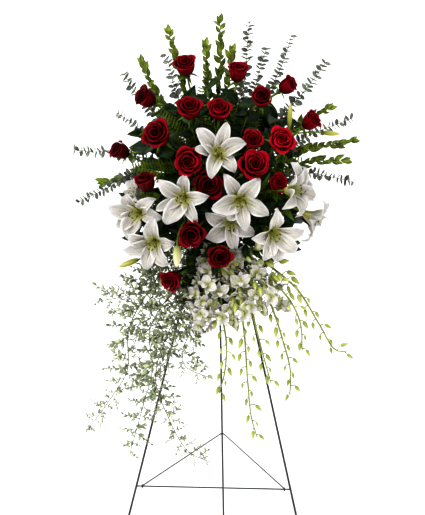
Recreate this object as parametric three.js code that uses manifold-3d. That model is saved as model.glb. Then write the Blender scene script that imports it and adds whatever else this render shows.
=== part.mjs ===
// A standing funeral spray: red roses, white lilies, white orchid sprays and mixed greens, set in a
// block of floral foam that hangs on a folding wire easel. Millimetres, +Z up, the viewer looks along +Y.
import * as THREE from 'three';
import { mergeVertices } from 'three/addons/utils/BufferGeometryUtils.js';
import Module from 'manifold-3d';

const wasm = await Module();
wasm.setup();
const { Manifold } = wasm;

// Easel: a 48 inch wire tripod
const EASEL_HEIGHT = 1140;
const FOOT_SPREAD = 580;
const FRONT_REACH = 312;
const BACK_REACH = 332;
const BRACE_HEIGHT = 354;
const LEG_RADIUS = 3;
const BRACE_RADIUS = 2;
const TOP_BAR_LENGTH = 44;
const TOP_SPACING = 28; // between the tops of the front legs
const EYE_SIDES = 10;
const LEG_EYE = { wall: 3.6, width: 6 };
const BRACE_EYE = { wall: 2.6, width: 4, inset: 16 }; // inset: from the front leg to the eye
const GAP = 0.3; // between two pieces that touch
const CLEARANCE = GAP + 0.1; // round a faceted rod, whose corners reach further than its flats
const FAR = 900; // past the edge of everything

// Foam block and the tray that carries it, measured down and out from the plane of the front legs
const FOAM_WIDTH = 110;
const FOAM_TOP = -60;
const FOAM_BOTTOM = 170;
const FOAM_DEPTH = 85;
const TRAY_STANDOFF = 8;
const TRAY_THICKNESS = 4;
const TRAY_RIM = 14;
const HOOK = { spacing: 18, width: 4, above: 8, below: 3, behind: 6 }; // over the top bar
const LEG_PAD = { width: 14, from: 142, to: 158 }; // between the tray's back and the front legs

// Stems
const ROSE_STEM = 2.6;
const LILY_STEM = 3;
const SPRAY_STEM = 1.3;
const VINE_STEM = 1;
const ORCHID_STEM = 1.5;
const BROAD_STEM = 1.7;
const HOLE_SLACK = 0.4;
const HUB_RADIUS = 11; // where the stems of a bunch meet inside the foam
const STUB_LENGTH = 30; // how deep a spray's stub stands in the foam
const SHORT_STEM = 170; // up to here a flower's stem takes two runs, and past it three

const RED = { color: 0x8e1020, roughness: 0.6, metalness: 0 };
const WHITE = { color: 0xf3f1ea, roughness: 0.55, metalness: 0 };
const STEM_GREEN = { color: 0x6f8f2e, roughness: 0.6, metalness: 0 };
const ORCHID_GREEN = { color: 0xc4d16a, roughness: 0.55, metalness: 0 };
const GREY_GREEN = { color: 0x6d7f6a, roughness: 0.75, metalness: 0 };
const LEAF_GREEN = { color: 0x33582a, roughness: 0.55, metalness: 0 };
const DEEP_GREEN = { color: 0x1c3a1d, roughness: 0.5, metalness: 0 };
const FOAM_GREEN = { color: 0x2f4a35, roughness: 0.95, metalness: 0 };
const TRAY_GREEN = { color: 0x22382a, roughness: 0.6, metalness: 0 };
const WIRE_GREEN = { color: 0x1f2c28, roughness: 0.45, metalness: 0.6 };

const v = (x, y, z) => new THREE.Vector3(x, y, z);
const at = ([x, y, z]) => v(x, y, z);
const degrees = THREE.MathUtils.degToRad;
const GOLDEN_ANGLE = degrees(137.508);

// A repeatable number from -1 to 1 for each whole number
function vary(k) {
  const wave = Math.sin(k * 12.9898) * 43758.5453;
  return 2 * (wave - Math.floor(wave)) - 1;
}

// Solids
function toSolid(geometry) {
  const bare = geometry.clone();
  bare.deleteAttribute('normal');
  bare.deleteAttribute('uv');
  const merged = mergeVertices(bare, 1e-4);
  return new Manifold(new wasm.Mesh({
    numProp: 3,
    vertProperties: merged.attributes.position.array,
    triVerts: new Uint32Array(merged.index.array),
  }));
}

function toGeometry(solid) {
  const mesh = solid.getMesh();
  const geometry = new THREE.BufferGeometry();
  geometry.setAttribute('position', new THREE.BufferAttribute(mesh.vertProperties, 3));
  geometry.setIndex(new THREE.BufferAttribute(mesh.triVerts, 1));
  geometry.computeVertexNormals();
  return geometry;
}

const joined = (solids) => Manifold.union(solids);

// A closed body of rings between two end points; place(i, j) gives side i of ring j, from the top point down
function ringBody(sides, rings, place, matrix = new THREE.Matrix4()) {
  const geometry = new THREE.SphereGeometry(1, sides, rings);
  const spots = geometry.attributes.position;
  for (let k = 0; k < spots.count; k += 1) {
    const j = Math.floor(k / (sides + 1));
    const i = (k % (sides + 1)) % sides;
    const spot = place(i, j).applyMatrix4(matrix);
    spots.setXYZ(k, spot.x, spot.y, spot.z);
  }
  return toSolid(geometry);
}

function polygon(radius, sides) {
  const corners = [];
  for (let i = 0; i < sides; i += 1) {
    const angle = (2 * Math.PI * (i + 0.5)) / sides;
    corners.push(new THREE.Vector2(radius * Math.cos(angle), radius * Math.sin(angle)));
  }
  return corners;
}

function tube(curve, radius, sides, steps) {
  const section = new THREE.Shape(polygon(radius, sides));
  return toSolid(new THREE.ExtrudeGeometry(section, { steps, extrudePath: curve, bevelEnabled: false }));
}

const rod = (from, to, radius, sides = 12) => tube(new THREE.LineCurve3(from, to), radius, sides, 1);

// A ring whose hole runs along X
function eye(centre, innerRadius, { wall, width }) {
  const section = new THREE.Shape(polygon(innerRadius + wall, EYE_SIDES));
  section.holes.push(new THREE.Path(polygon(innerRadius, EYE_SIDES)));
  const geometry = new THREE.ExtrudeGeometry(section, { depth: width, bevelEnabled: false });
  geometry.rotateY(Math.PI / 2);
  geometry.translate(centre.x - width / 2, centre.y, centre.z);
  return toSolid(geometry);
}

function block(minimum, maximum) {
  const size = maximum.clone().sub(minimum);
  const centre = minimum.clone().add(maximum).multiplyScalar(0.5);
  const geometry = new THREE.BoxGeometry(size.x, size.y, size.z);
  geometry.translate(centre.x, centre.y, centre.z);
  return toSolid(geometry);
}

// Frames: local Z is the given direction, local X stays level, and roll turns both about Z
function facing(origin, direction, roll = 0) {
  const z = direction.clone().normalize();
  const x = v(-z.y, z.x, 0);
  if (x.lengthSq() < 1e-6) x.set(1, 0, 0);
  x.normalize();
  const y = z.clone().cross(x);
  const matrix = new THREE.Matrix4().makeBasis(x, y, z).setPosition(origin);
  return matrix.multiply(new THREE.Matrix4().makeRotationZ(roll));
}

// Local Z runs along a leaf and local Y is its upper face
function leafFrame(origin, along, face) {
  const z = along.clone().normalize();
  const x = face.clone().cross(z).normalize();
  const y = z.clone().cross(x);
  return new THREE.Matrix4().makeBasis(x, y, z).setPosition(origin);
}

// Every solid that later leaves and petals stay clear of, under the name of its node
const placed = [];
const flowers = new THREE.Group();

function remember(name, solid) {
  placed.push({ name, solid, box: solid.boundingBox() });
}

function isClear(name, solid) {
  const box = solid.boundingBox();
  return placed.every((other) => {
    const apart = [0, 1, 2].some((k) => box.max[k] < other.box.min[k] || box.min[k] > other.box.max[k]);
    return other.name === name || apart || solid.intersect(other.solid).volume() < 1e-3;
  });
}

const numbered = (index) => String(index + 1).padStart(2, '0');

function addNode(name, solid, material) {
  const mesh = new THREE.Mesh(toGeometry(solid), new THREE.MeshStandardMaterial(material));
  mesh.name = name;
  flowers.add(mesh);
  remember(name, solid);
}

// Easel
const topPivot = v(0, 0, EASEL_HEIGHT);
const shareAtBrace = 1 - BRACE_HEIGHT / EASEL_HEIGHT;
const crossbarY = -FRONT_REACH * shareAtBrace;
const rearLegY = BACK_REACH * shareAtBrace;
const crossbarHalf = TOP_SPACING / 2 + (FOOT_SPREAD / 2 - TOP_SPACING / 2) * shareAtBrace;
const floorCut = block(v(-FAR, -FAR, -FAR), v(FAR, FAR, 0));
const PAST_FOOT = -0.01; // how far a leg runs on below the floor before it is cut, as a part of its length

// The space that a piece leaves round the top bar, and round a front leg
const topBarRoom = () => rod(v(-FAR, 0, EASEL_HEIGHT), v(FAR, 0, EASEL_HEIGHT), LEG_RADIUS + CLEARANCE);

function frontLegEnds(side) {
  return [v((side * FOOT_SPREAD) / 2, -FRONT_REACH, 0), v((side * TOP_SPACING) / 2, 0, EASEL_HEIGHT)];
}

function frontLeg(side) {
  const [foot, top] = frontLegEnds(side);
  return rod(foot.clone().lerp(top, PAST_FOOT), top, LEG_RADIUS).subtract(floorCut).subtract(topBarRoom());
}

function rearLeg() {
  const foot = v(0, BACK_REACH, 0);
  const hole = LEG_RADIUS + CLEARANCE;
  const inWall = (hole + LEG_EYE.wall / 2) / topPivot.distanceTo(foot);
  const wire = rod(foot.clone().lerp(topPivot, PAST_FOOT), topPivot.clone().lerp(foot, inWall), LEG_RADIUS);
  return joined([wire.subtract(floorCut), eye(topPivot, hole, LEG_EYE)]);
}

// A brace wire runs from its eye on the crossbar to the back of the rear leg, hooks round it, and stops
// at the middle, where the other brace's hook begins
function brace(side) {
  const pivot = v(side * (crossbarHalf - BRACE_EYE.inset), crossbarY, BRACE_HEIGHT);
  const hole = BRACE_RADIUS + CLEARANCE;
  const hook = LEG_RADIUS * 1.05 + GAP + BRACE_RADIUS;
  const start = pivot.clone().add(v(0, hole + BRACE_EYE.wall / 2, 0));
  const corner = v(side * hook, rearLegY, BRACE_HEIGHT);
  const lead = corner.clone().sub(start).normalize();
  const wrap = new THREE.CatmullRomCurve3([
    corner.clone().addScaledVector(lead, -3),
    corner,
    v(side * hook * 0.71, rearLegY + hook * 0.75, BRACE_HEIGHT),
    v(-side, rearLegY + hook + 0.3, BRACE_HEIGHT),
  ]);
  const ring = eye(pivot, hole, BRACE_EYE);
  const wire = joined([ring, rod(start, corner, BRACE_RADIUS, 6), tube(wrap, BRACE_RADIUS, 6, 3)]);
  const edges = [(side * GAP) / 2, -side * FAR];
  return wire.subtract(block(v(Math.min(...edges), 0, 0), v(Math.max(...edges), FAR, FAR)));
}

function crossbar() {
  const end = v(crossbarHalf, crossbarY, BRACE_HEIGHT);
  const bar = rod(v(-end.x, end.y, end.z), end, BRACE_RADIUS);
  const room = [-1, 1].map((side) => rod(...frontLegEnds(side), LEG_RADIUS + CLEARANCE));
  return bar.subtract(joined(room));
}

function addEasel() {
  const half = TOP_BAR_LENGTH / 2;
  addNode('front_leg_left', frontLeg(-1), WIRE_GREEN);
  addNode('front_leg_right', frontLeg(1), WIRE_GREEN);
  addNode('top_bar', rod(v(-half, 0, EASEL_HEIGHT), v(half, 0, EASEL_HEIGHT), LEG_RADIUS), WIRE_GREEN);
  addNode('crossbar', crossbar(), WIRE_GREEN);
  addNode('rear_leg', rearLeg(), WIRE_GREEN);
  addNode('brace_left', brace(-1), WIRE_GREEN);
  addNode('brace_right', brace(1), WIRE_GREEN);
}

// Foam and tray, in the plane of the front legs: down runs along the legs, out runs to the viewer
const lean = Math.atan2(FRONT_REACH, EASEL_HEIGHT);
const foamBack = TRAY_STANDOFF + TRAY_THICKNESS + GAP;

function trayPoint(across, down, out) {
  const y = -down * Math.sin(lean) - out * Math.cos(lean);
  const z = EASEL_HEIGHT - down * Math.cos(lean) + out * Math.sin(lean);
  return v(across, y, z);
}

const trayMatrix = new THREE.Matrix4().makeRotationX(Math.PI / 2 - lean).setPosition(topPivot);

// A block from one corner to the other, both given as across, down and out
function trayBlock(low, high) {
  return block(v(low.x, -high.y, low.z), v(high.x, -low.y, high.z)).transform(trayMatrix.elements);
}

function foamBlock() {
  const low = v(-FOAM_WIDTH / 2, FOAM_TOP, foamBack);
  return trayBlock(low, v(FOAM_WIDTH / 2, FOAM_BOTTOM, foamBack + FOAM_DEPTH));
}

function tray() {
  const edge = TRAY_THICKNESS + GAP;
  const outer = trayBlock(
    v(-FOAM_WIDTH / 2 - edge, FOAM_TOP - edge, TRAY_STANDOFF),
    v(FOAM_WIDTH / 2 + edge, FOAM_BOTTOM + edge, foamBack + TRAY_RIM),
  );
  const inner = trayBlock(
    v(-FOAM_WIDTH / 2 - GAP, FOAM_TOP - GAP, TRAY_STANDOFF + TRAY_THICKNESS),
    v(FOAM_WIDTH / 2 + GAP, FOAM_BOTTOM + GAP, foamBack + FOAM_DEPTH),
  );
  const pieces = [outer.subtract(inner)];
  const intoTray = TRAY_STANDOFF + TRAY_THICKNESS / 4;
  for (const side of [-1, 1]) {
    const middle = (side * HOOK.spacing) / 2;
    const hook = trayBlock(
      v(middle - HOOK.width / 2, -HOOK.above, -HOOK.behind),
      v(middle + HOOK.width / 2, HOOK.below, intoTray),
    );
    pieces.push(hook.subtract(topBarRoom()));
    const [foot, top] = frontLegEnds(side);
    const downLeg = (LEG_PAD.from + LEG_PAD.to) / 2 / Math.hypot(FRONT_REACH, EASEL_HEIGHT);
    const beside = top.clone().lerp(foot, downLeg).x;
    pieces.push(trayBlock(
      v(beside - LEG_PAD.width / 2, LEG_PAD.from, LEG_RADIUS + CLEARANCE),
      v(beside + LEG_PAD.width / 2, LEG_PAD.to, intoTray),
    ));
  }
  return joined(pieces);
}

// Stems: those of a bunch leave one root inside the foam, each through a hole of its own
const holes = [];

// A small eight-sided body where the stems of a bunch meet
function hub(root, radius) {
  const rows = [[0, radius], [radius, 0], [0, -radius]];
  return ringBody(4, 2, (i, j) => {
    const turn = (Math.PI / 2) * (i + 0.5);
    return v(rows[j][0] * Math.cos(turn), rows[j][0] * Math.sin(turn), rows[j][1]);
  }, new THREE.Matrix4().setPosition(root));
}

function stem(curve, radius, steps) {
  holes.push(tube(curve, radius + 2 * HOLE_SLACK, 3, steps));
  return tube(curve, radius, 3, steps);
}

// A flower's stem ends along the bloom's own axis
function flowerStem(root, base, axis, radius) {
  const reach = root.distanceTo(base);
  const steps = reach < SHORT_STEM ? 2 : 3;
  const bend = base.clone().addScaledVector(axis, -0.4 * reach);
  const out = root.clone().lerp(bend, 0.55);
  const start = root.clone().addScaledVector(out.clone().sub(root).normalize(), HUB_RADIUS / 2);
  return stem(new THREE.CubicBezierCurve3(start, out, bend, base), radius, steps);
}

// Blooms: place, size and the way each looks, as its turn to the right and its tilt up, in degrees
function bloomMatrix(bloom, roll) {
  const [turn, tilt] = bloom.look.map(degrees);
  const direction = v(Math.sin(turn) * Math.cos(tilt), -Math.cos(turn) * Math.cos(tilt), Math.sin(tilt));
  return facing(at(bloom.at), direction, roll);
}

const roseMatrix = (rose, index) => bloomMatrix(rose, index * GOLDEN_ANGLE);
const lilyMatrix = (lily) => bloomMatrix(lily, degrees(lily.roll));

// Roses: cupped rows of petals, each row standing proud of the next
const ROSES = [
  { at: [-75, -150, 1455], size: 64, look: [-8, 48] },
  { at: [60, -165, 1440], size: 63, look: [15, 55] },
  { at: [-175, -160, 1375], size: 64, look: [-50, 30] },
  { at: [120, -175, 1375], size: 60, look: [5, 30] },
  { at: [185, -130, 1405], size: 56, look: [60, 30] },
  { at: [-60, -205, 1350], size: 65, look: [0, 42] },
  { at: [15, -200, 1345], size: 62, look: [5, 40] },
  { at: [245, -135, 1315], size: 59, look: [50, 35] },
  { at: [-140, -215, 1285], size: 75, look: [-18, 22] },
  { at: [-240, -175, 1240], size: 59, look: [-45, 25] },
  { at: [100, -205, 1275], size: 57, look: [0, 10] },
  { at: [170, -210, 1270], size: 70, look: [15, 20] },
  { at: [-60, -235, 1220], size: 75, look: [0, 8] },
  { at: [101, -250, 1213], size: 80, look: [15, 20] },
  { at: [-170, -225, 1165], size: 61, look: [-25, 60] },
  { at: [-10, -215, 1160], size: 77, look: [0, 5] },
  { at: [160, -140, 1155], size: 58, look: [25, 10] },
  { at: [-50, -260, 1040], size: 70, look: [0, -2] },
  { at: [20, -255, 985], size: 63, look: [3, -5] },
  { at: [-105, -225, 915], size: 61, look: [-25, -12] },
];
const ROSE_SIDES = 9;
// Radius and height of each row in parts of the bloom's radius, from the centre out and down
const ROSE_ROWS = [
  [0, 0.45], [0.42, 0.62], [0.48, 0.34], [0.7, 0.5],
  [0.74, 0.12], [1, 0.26], [0.84, -0.35], [0.38, -0.95], [0, -0.95],
];
const RIM_ROWS = { 1: [4.5, 0.1], 3: [3, 0.12], 5: [1.8, 0.12] };

function roseHead(rose, index) {
  const radius = rose.size / 2;
  const place = (i, j) => {
    const [out, up] = ROSE_ROWS[j];
    const [span, depth] = RIM_ROWS[j] ?? [1, 0];
    const inPetal = (i % span) / span;
    const swell = depth * (inPetal - 0.35);
    const turn = (2 * Math.PI * i) / ROSE_SIDES;
    const ring = radius * out * (1 + swell);
    return v(ring * Math.cos(turn), ring * Math.sin(turn), radius * (up + swell));
  };
  return ringBody(ROSE_SIDES, ROSE_ROWS.length - 1, place, roseMatrix(rose, index));
}

// The green calyx under a rose, flat on top where the bloom sits
function calyx(rose, index) {
  const radius = rose.size / 2;
  const top = -0.95 * radius - GAP;
  const rows = [[0, top], [0.32 * radius, top], [0, top - 11]];
  return ringBody(4, 2, (i, j) => {
    const turn = (Math.PI / 2) * i;
    return v(rows[j][0] * Math.cos(turn), rows[j][0] * Math.sin(turn), rows[j][1]);
  }, roseMatrix(rose, index));
}

function roseStem(root, rose, index) {
  const matrix = roseMatrix(rose, index);
  const axis = v(0, 0, 1).transformDirection(matrix);
  const base = v(0, 0, (-0.95 * rose.size) / 2 - GAP - 3).applyMatrix4(matrix);
  return [flowerStem(root, base, axis, ROSE_STEM), calyx(rose, index)];
}

// Lilies: roll is the angle of the first tepal
const LILIES = [
  { at: [15, -255, 1245], size: 136, look: [2, 14], roll: 12 },
  { at: [-75, -262, 1130], size: 132, look: [-5, 4], roll: 15 },
  { at: [72, -272, 1125], size: 140, look: [6, 0], roll: -10 },
  { at: [45, -228, 1060], size: 130, look: [4, -8], roll: 38 },
  { at: [-200, -225, 1085], size: 130, look: [-14, 4], roll: -5 },
  { at: [-155, -250, 1010], size: 130, look: [-8, -6], roll: 18 },
  { at: [215, -222, 1150], size: 130, look: [48, 8], roll: 13 },
  { at: [160, -245, 1035], size: 132, look: [14, -8], roll: 57 },
  { at: [262, -175, 1065], size: 118, look: [75, -28], roll: 0 },
  { at: [-212, -140, 1132], size: 104, look: [-60, 32], roll: 30 },
];
// A tepal's midrib as radius and height in parts of the bloom's radius, then its half width and thickness
const TEPAL = [
  [1.0, 0.02, 0, 0], [0.86, 0.14, 0.2, 0.03], [0.56, 0.1, 0.27, 0.04],
  [0.24, -0.3, 0.13, 0.05], [0.03, -0.72, 0, 0],
];
const LILY_BASE = -0.78;

// One tepal: three-sided rings along its midrib, standing out at a given angle round the bloom
function tepal(radius, angle, breadth, matrix) {
  const last = TEPAL.length - 1;
  const place = (i, j) => {
    const [out, up, half, thick] = TEPAL[j];
    const [nextOut, nextUp] = TEPAL[Math.min(j + 1, last)];
    const [lastOut, lastUp] = TEPAL[Math.max(j - 1, 0)];
    const run = new THREE.Vector2(lastOut - nextOut, lastUp - nextUp).normalize();
    const side = [1, -1, 0][i] * half * breadth;
    const rise = [half * 0.22, half * 0.22, -thick][i];
    const spot = v(out - run.y * rise, side, up + run.x * rise).multiplyScalar(radius);
    return spot.applyAxisAngle(v(0, 0, 1), angle);
  };
  return ringBody(3, last, place, matrix);
}

// A thin spindle from one point to another, widest where said
function spindle(from, to, radius, sides = 3, widest = 0.5, matrix = new THREE.Matrix4()) {
  const run = facing(from, to.clone().sub(from));
  const length = from.distanceTo(to);
  const place = (i, j) => {
    const turn = (2 * Math.PI * i) / sides;
    const ring = j === 1 ? radius : 0;
    return v(ring * Math.cos(turn), ring * Math.sin(turn), [length, widest * length, 0][j]).applyMatrix4(run);
  };
  return ringBody(sides, 2, place, matrix);
}

function lilyBloom(lily) {
  const radius = lily.size / 2;
  const matrix = lilyMatrix(lily);
  const pieces = [];
  for (let k = 0; k < 6; k += 1) {
    pieces.push(tepal(radius, degrees(60 * k), k % 2 ? 0.82 : 1.05, matrix));
  }
  const throat = [[0, -0.4], [0.12, -0.55], [0.06, LILY_BASE], [0, LILY_BASE]];
  pieces.push(ringBody(4, 3, (i, j) => {
    const turn = (Math.PI / 2) * (i + 0.5);
    const ring = throat[j][0] * radius;
    return v(ring * Math.cos(turn), ring * Math.sin(turn), throat[j][1] * radius);
  }, matrix));
  const low = v(0, 0, -0.45 * radius);
  for (let k = 0; k < 3; k += 1) {
    const turn = degrees(30 + 120 * k);
    const high = v(0.24 * radius * Math.cos(turn), 0.24 * radius * Math.sin(turn), 0.3 * radius);
    pieces.push(spindle(low, high, 1.6, 3, 0.8, matrix));
  }
  pieces.push(spindle(low, v(0.03 * radius, -0.04 * radius, 0.4 * radius), 1.6, 3, 0.85, matrix));
  return joined(pieces);
}

// Lily buds: where each starts and ends, and half its thickness
const BUDS = {
  pale: [[-88, -262, 1012], [-86, -300, 962], 12],
  left: [[-190, -205, 965], [-245, -215, 945], 8],
  upright: [[190, -180, 1300], [193, -195, 1365], 7],
  level: [[272, -112, 1286], [322, -120, 1282], 7],
  round: [[116, -188, 1000], [122, -238, 1010], 14],
};

// Which flowers share a bunch of stems, and where that bunch is rooted: across, down and out in the foam
const BUNCHES = {
  flower_stems_top: { root: [-6, -28, 64], roses: [1, 2, 6, 7], lilies: [1], buds: [] },
  flower_stems_left: { root: [-34, 10, 60], roses: [3, 9, 10, 13, 15], lilies: [10], buds: [] },
  flower_stems_right: { root: [34, -4, 60], roses: [4, 5, 8, 11, 12], lilies: [], buds: ['upright', 'level'] },
  flower_stems_middle: { root: [4, 46, 70], roses: [14, 16, 17], lilies: [2, 3, 7], buds: [] },
  flower_stems_low_left: { root: [-34, 98, 60], roses: [18, 20], lilies: [5, 6], buds: ['pale', 'left'] },
  flower_stems_low_right: { root: [30, 98, 62], roses: [19], lilies: [4, 8, 9], buds: ['round'] },
};

// A leaf: three-sided rings between its foot and its tip, with the rib behind, drooping along its length
function leaf(foot, along, face, { length, width, thickness = 1.6, stations = 3, droop = 0 }) {
  return ringBody(3, stations, (i, j) => {
    const t = 1 - j / stations;
    const isPoint = j === 0 || j === stations;
    const half = isPoint ? 0 : (width / 2) * Math.sin(Math.PI * t ** 0.8);
    const rib = isPoint ? 0 : [0, 0, -thickness][i];
    return v([1, -1, 0][i] * half, rib - droop * length * t * t, length * t);
  }, leafFrame(foot, along, face));
}

function lilyStem(root, lily) {
  const matrix = lilyMatrix(lily);
  const axis = v(0, 0, 1).transformDirection(matrix);
  const base = v(0, 0, (LILY_BASE * lily.size) / 2 - GAP).applyMatrix4(matrix);
  return flowerStem(root, base, axis, LILY_STEM);
}

function budOnStem(root, [from, to, thickness]) {
  const foot = at(from);
  const axis = at(to).sub(foot).normalize();
  const neck = flowerStem(root, foot.clone().addScaledVector(axis, 5), axis, ROSE_STEM);
  return [neck, spindle(foot, at(to), thickness, 5, 0.55)];
}

function addFlowers() {
  ROSES.forEach((rose, index) => addNode(`rose_${numbered(index)}`, roseHead(rose, index), RED));
  LILIES.forEach((lily, index) => addNode(`lily_${numbered(index)}`, lilyBloom(lily), WHITE));
  for (const [name, { root, roses, lilies, buds }] of Object.entries(BUNCHES)) {
    const start = trayPoint(...root);
    holes.push(hub(start, HUB_RADIUS + HOLE_SLACK));
    addNode(name, joined([
      hub(start, HUB_RADIUS),
      ...roses.flatMap((number) => roseStem(start, ROSES[number - 1], number - 1)),
      ...lilies.map((number) => lilyStem(start, LILIES[number - 1])),
      ...buds.flatMap((bud) => budOnStem(start, BUDS[bud])),
    ]), STEM_GREEN);
  }
}

// Leafy and flowering sprays. Each route starts at its bunch's root, and its points are in order outwards.
// A thing that would run into what already stands there is left out.

// The straight runs that a stem is built from
function stemRuns(curve, steps) {
  const knots = curve.getSpacedPoints(steps);
  const runAt = (t) => Math.min(Math.floor(t * steps), steps - 1);
  return {
    spot: (t) => knots[runAt(t)].clone().lerp(knots[runAt(t) + 1], t * steps - runAt(t)),
    heading: (t) => knots[runAt(t) + 1].clone().sub(knots[runAt(t)]).normalize(),
  };
}

function alongStem(runs, count, from, to, make) {
  for (let k = 0; k < count; k += 1) {
    const t = from + ((to - from) * k) / (count - 1);
    make(k, t, runs.spot(t), runs.heading(t));
  }
}

// A direction square to a stem: turned by an angle from its side, as the viewer sees it, to its front
function outward(heading, turn) {
  const side = heading.clone().cross(v(0, -1, 0));
  if (side.lengthSq() < 1e-3) side.set(1, 0, 0);
  side.normalize();
  const front = side.clone().cross(heading).normalize();
  return side.multiplyScalar(Math.cos(turn)).addScaledVector(front, Math.sin(turn));
}

// All the stems grow first, so that what they carry stays clear of every other spray's stem
const sprays = [];

function growSpray(name, bunch, { radius, steps, material, dress }) {
  const { root, routes } = bunch;
  const start = trayPoint(...root);
  const inward = trayPoint(0, THREE.MathUtils.clamp(root[1], -20, 130), 50).sub(start).normalize();
  const stub = (size, extra) => {
    const end = start.clone().addScaledVector(inward, STUB_LENGTH + extra);
    return rod(end, start, size, 3);
  };
  const thick = radius * 1.6;
  holes.push(stub(thick + 2 * HOLE_SLACK, HOLE_SLACK));
  const pieces = [hub(start, radius * 3), stub(thick, 0)];
  const lines = routes.map((route) => {
    const curve = new THREE.CatmullRomCurve3([start, ...route.map(at)]);
    pieces.push(tube(curve, radius, 3, steps));
    return stemRuns(curve, steps);
  });
  const stems = joined(pieces);
  remember(name, stems);
  sprays.push({ name, bunch, stems, lines, material, dress });
}

function dressSprays() {
  for (const { name, bunch, stems, lines, material, dress } of sprays) {
    const pieces = [stems];
    const keep = (piece) => {
      if (isClear(name, piece)) pieces.push(piece);
    };
    lines.forEach((runs, index) => dress(runs, index, keep, bunch));
    addNode(name, joined(pieces), material);
  }
}

const EUCALYPTUS = {
  eucalyptus_left: {
    root: [-61, 4, 30],
    routes: [
      [[-120, -70, 1190], [-275, -90, 1230], [-330, -85, 1230], [-380, -70, 1235]],
      [[-110, -55, 1150], [-220, -72, 1172], [-280, -105, 1140], [-310, -115, 1125], [-365, -110, 1100]],
      [[-95, -60, 1240], [-185, -85, 1355], [-220, -75, 1395], [-245, -60, 1435]],
      [[-95, -85, 1210], [-170, -125, 1265], [-210, -130, 1305], [-255, -120, 1335]],
    ],
  },
  eucalyptus_top: {
    root: [16, -66, 30],
    routes: [
      [[-25, -20, 1260], [-105, -85, 1385], [-120, -75, 1445], [-135, -60, 1485]],
      [[40, -45, 1280], [75, -75, 1430], [80, -65, 1510], [85, -50, 1570]],
      [[50, -65, 1270], [95, -105, 1380], [115, -100, 1450], [130, -90, 1500]],
      [[65, -45, 1270], [140, -75, 1395], [175, -65, 1470], [195, -50, 1535]],
    ],
  },
  eucalyptus_right: {
    root: [61, -30, 56],
    routes: [
      [[95, -60, 1230], [190, -80, 1345], [245, -70, 1410], [285, -60, 1465]],
      [[120, -70, 1200], [250, -92, 1280], [315, -85, 1305], [355, -70, 1320]],
      [[110, -72, 1150], [235, -108, 1180], [300, -105, 1170], [360, -90, 1155]],
    ],
  },
};

function dressEucalyptus(runs, index, keep) {
  alongStem(runs, 4, 0.55, 0.97, (k, t, spot, heading) => {
    const turn = degrees(25) * (k % 2 ? 1 : -1) + 0.5 * vary(index * 31 + k);
    const length = 24 - 9 * t + 2 * vary(index * 17 + k);
    const face = heading.clone().multiplyScalar(0.5).add(v(0, -0.8, 0.1));
    for (const half of [0, Math.PI]) {
      const direction = outward(heading, turn + half).addScaledVector(heading, 0.25);
      keep(leaf(spot, direction, face, { length, width: length * 0.85, stations: 2 }));
    }
  });
}

const RUSCUS = {
  ruscus_left: {
    root: [-40, -66, 32],
    routes: [
      [[-55, -38, 1260], [-85, -50, 1390], [-100, -45, 1455], [-120, -40, 1515], [-135, -30, 1555]],
      [[-80, -48, 1260], [-155, -70, 1380], [-185, -55, 1435], [-205, -40, 1475]],
      [[-80, -25, 1216], [-230, -55, 1165], [-280, -70, 1150], [-315, -70, 1150]],
    ],
  },
  ruscus_top: {
    root: [-12, -66, 46],
    routes: [
      [[0, -45, 1280], [5, -65, 1405], [10, -50, 1490], [5, -30, 1585]],
      [[-12, -60, 1290], [-20, -95, 1405], [-25, -90, 1470], [-30, -80, 1520]],
      [[12, -65, 1290], [30, -108, 1395], [36, -105, 1450], [42, -100, 1505]],
    ],
  },
  ruscus_right: {
    root: [61, 26, 32],
    routes: [
      [[105, -35, 1200], [200, -62, 1290], [270, -85, 1335], [305, -100, 1355]],
      [[110, -40, 1165], [225, -80, 1235], [300, -65, 1250], [370, -50, 1265]],
      [[110, -45, 1130], [240, -85, 1205], [300, -75, 1210], [350, -60, 1210]],
    ],
  },
};

function dressRuscus(runs, index, keep) {
  alongStem(runs, 5, 0.48, 0.94, (k, t, spot, heading) => {
    const turn = (k % 2 ? Math.PI : 0) + 0.6 * vary(index * 13 + k);
    const direction = outward(heading, turn).multiplyScalar(0.8).addScaledVector(heading, 0.75);
    const length = 38 - 12 * t + 4 * vary(index * 7 + k);
    keep(leaf(spot, direction, v(0.2 * vary(k), -1, 0.35), { length, width: length * 0.42 }));
  });
  keep(leaf(runs.spot(0.98), runs.heading(0.98), v(0, -1, 0.3), { length: 26, width: 11 }));
}

// Orchid sprays: open florets near the top of each stem and pointed buds towards its tip
const ORCHIDS = {
  orchid_sprays_right: {
    root: [38, 150, 102],
    florets: [3, 3],
    buds: [5, 5],
    routes: [
      [[85, -150, 1000], [140, -185, 952], [215, -225, 895], [275, -225, 800], [315, -215, 735],
        [345, -210, 728]],
      [[80, -165, 985], [130, -215, 940], [200, -245, 865], [225, -235, 805], [230, -225, 735]],
    ],
  },
  orchid_sprays_middle: {
    root: [10, 163, 102],
    florets: [3, 3],
    buds: [5, 5],
    routes: [
      [[70, -180, 960], [125, -232, 905], [155, -235, 840], [180, -225, 760], [200, -215, 680],
        [200, -205, 610]],
      [[50, -190, 950], [95, -240, 870], [110, -235, 800], [130, -225, 720], [150, -215, 645]],
    ],
  },
  orchid_sprays_front: {
    root: [0, 176, 84],
    florets: [3, 3, 2],
    buds: [5, 4, 2],
    routes: [
      [[35, -175, 945], [75, -225, 820], [90, -220, 650], [100, -215, 550], [115, -210, 495]],
      [[12, -180, 925], [25, -230, 825], [35, -225, 745], [30, -215, 670], [15, -205, 610]],
      [[-15, -175, 935], [-22, -220, 890], [-28, -225, 850], [-32, -215, 785]],
    ],
  },
};

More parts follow.
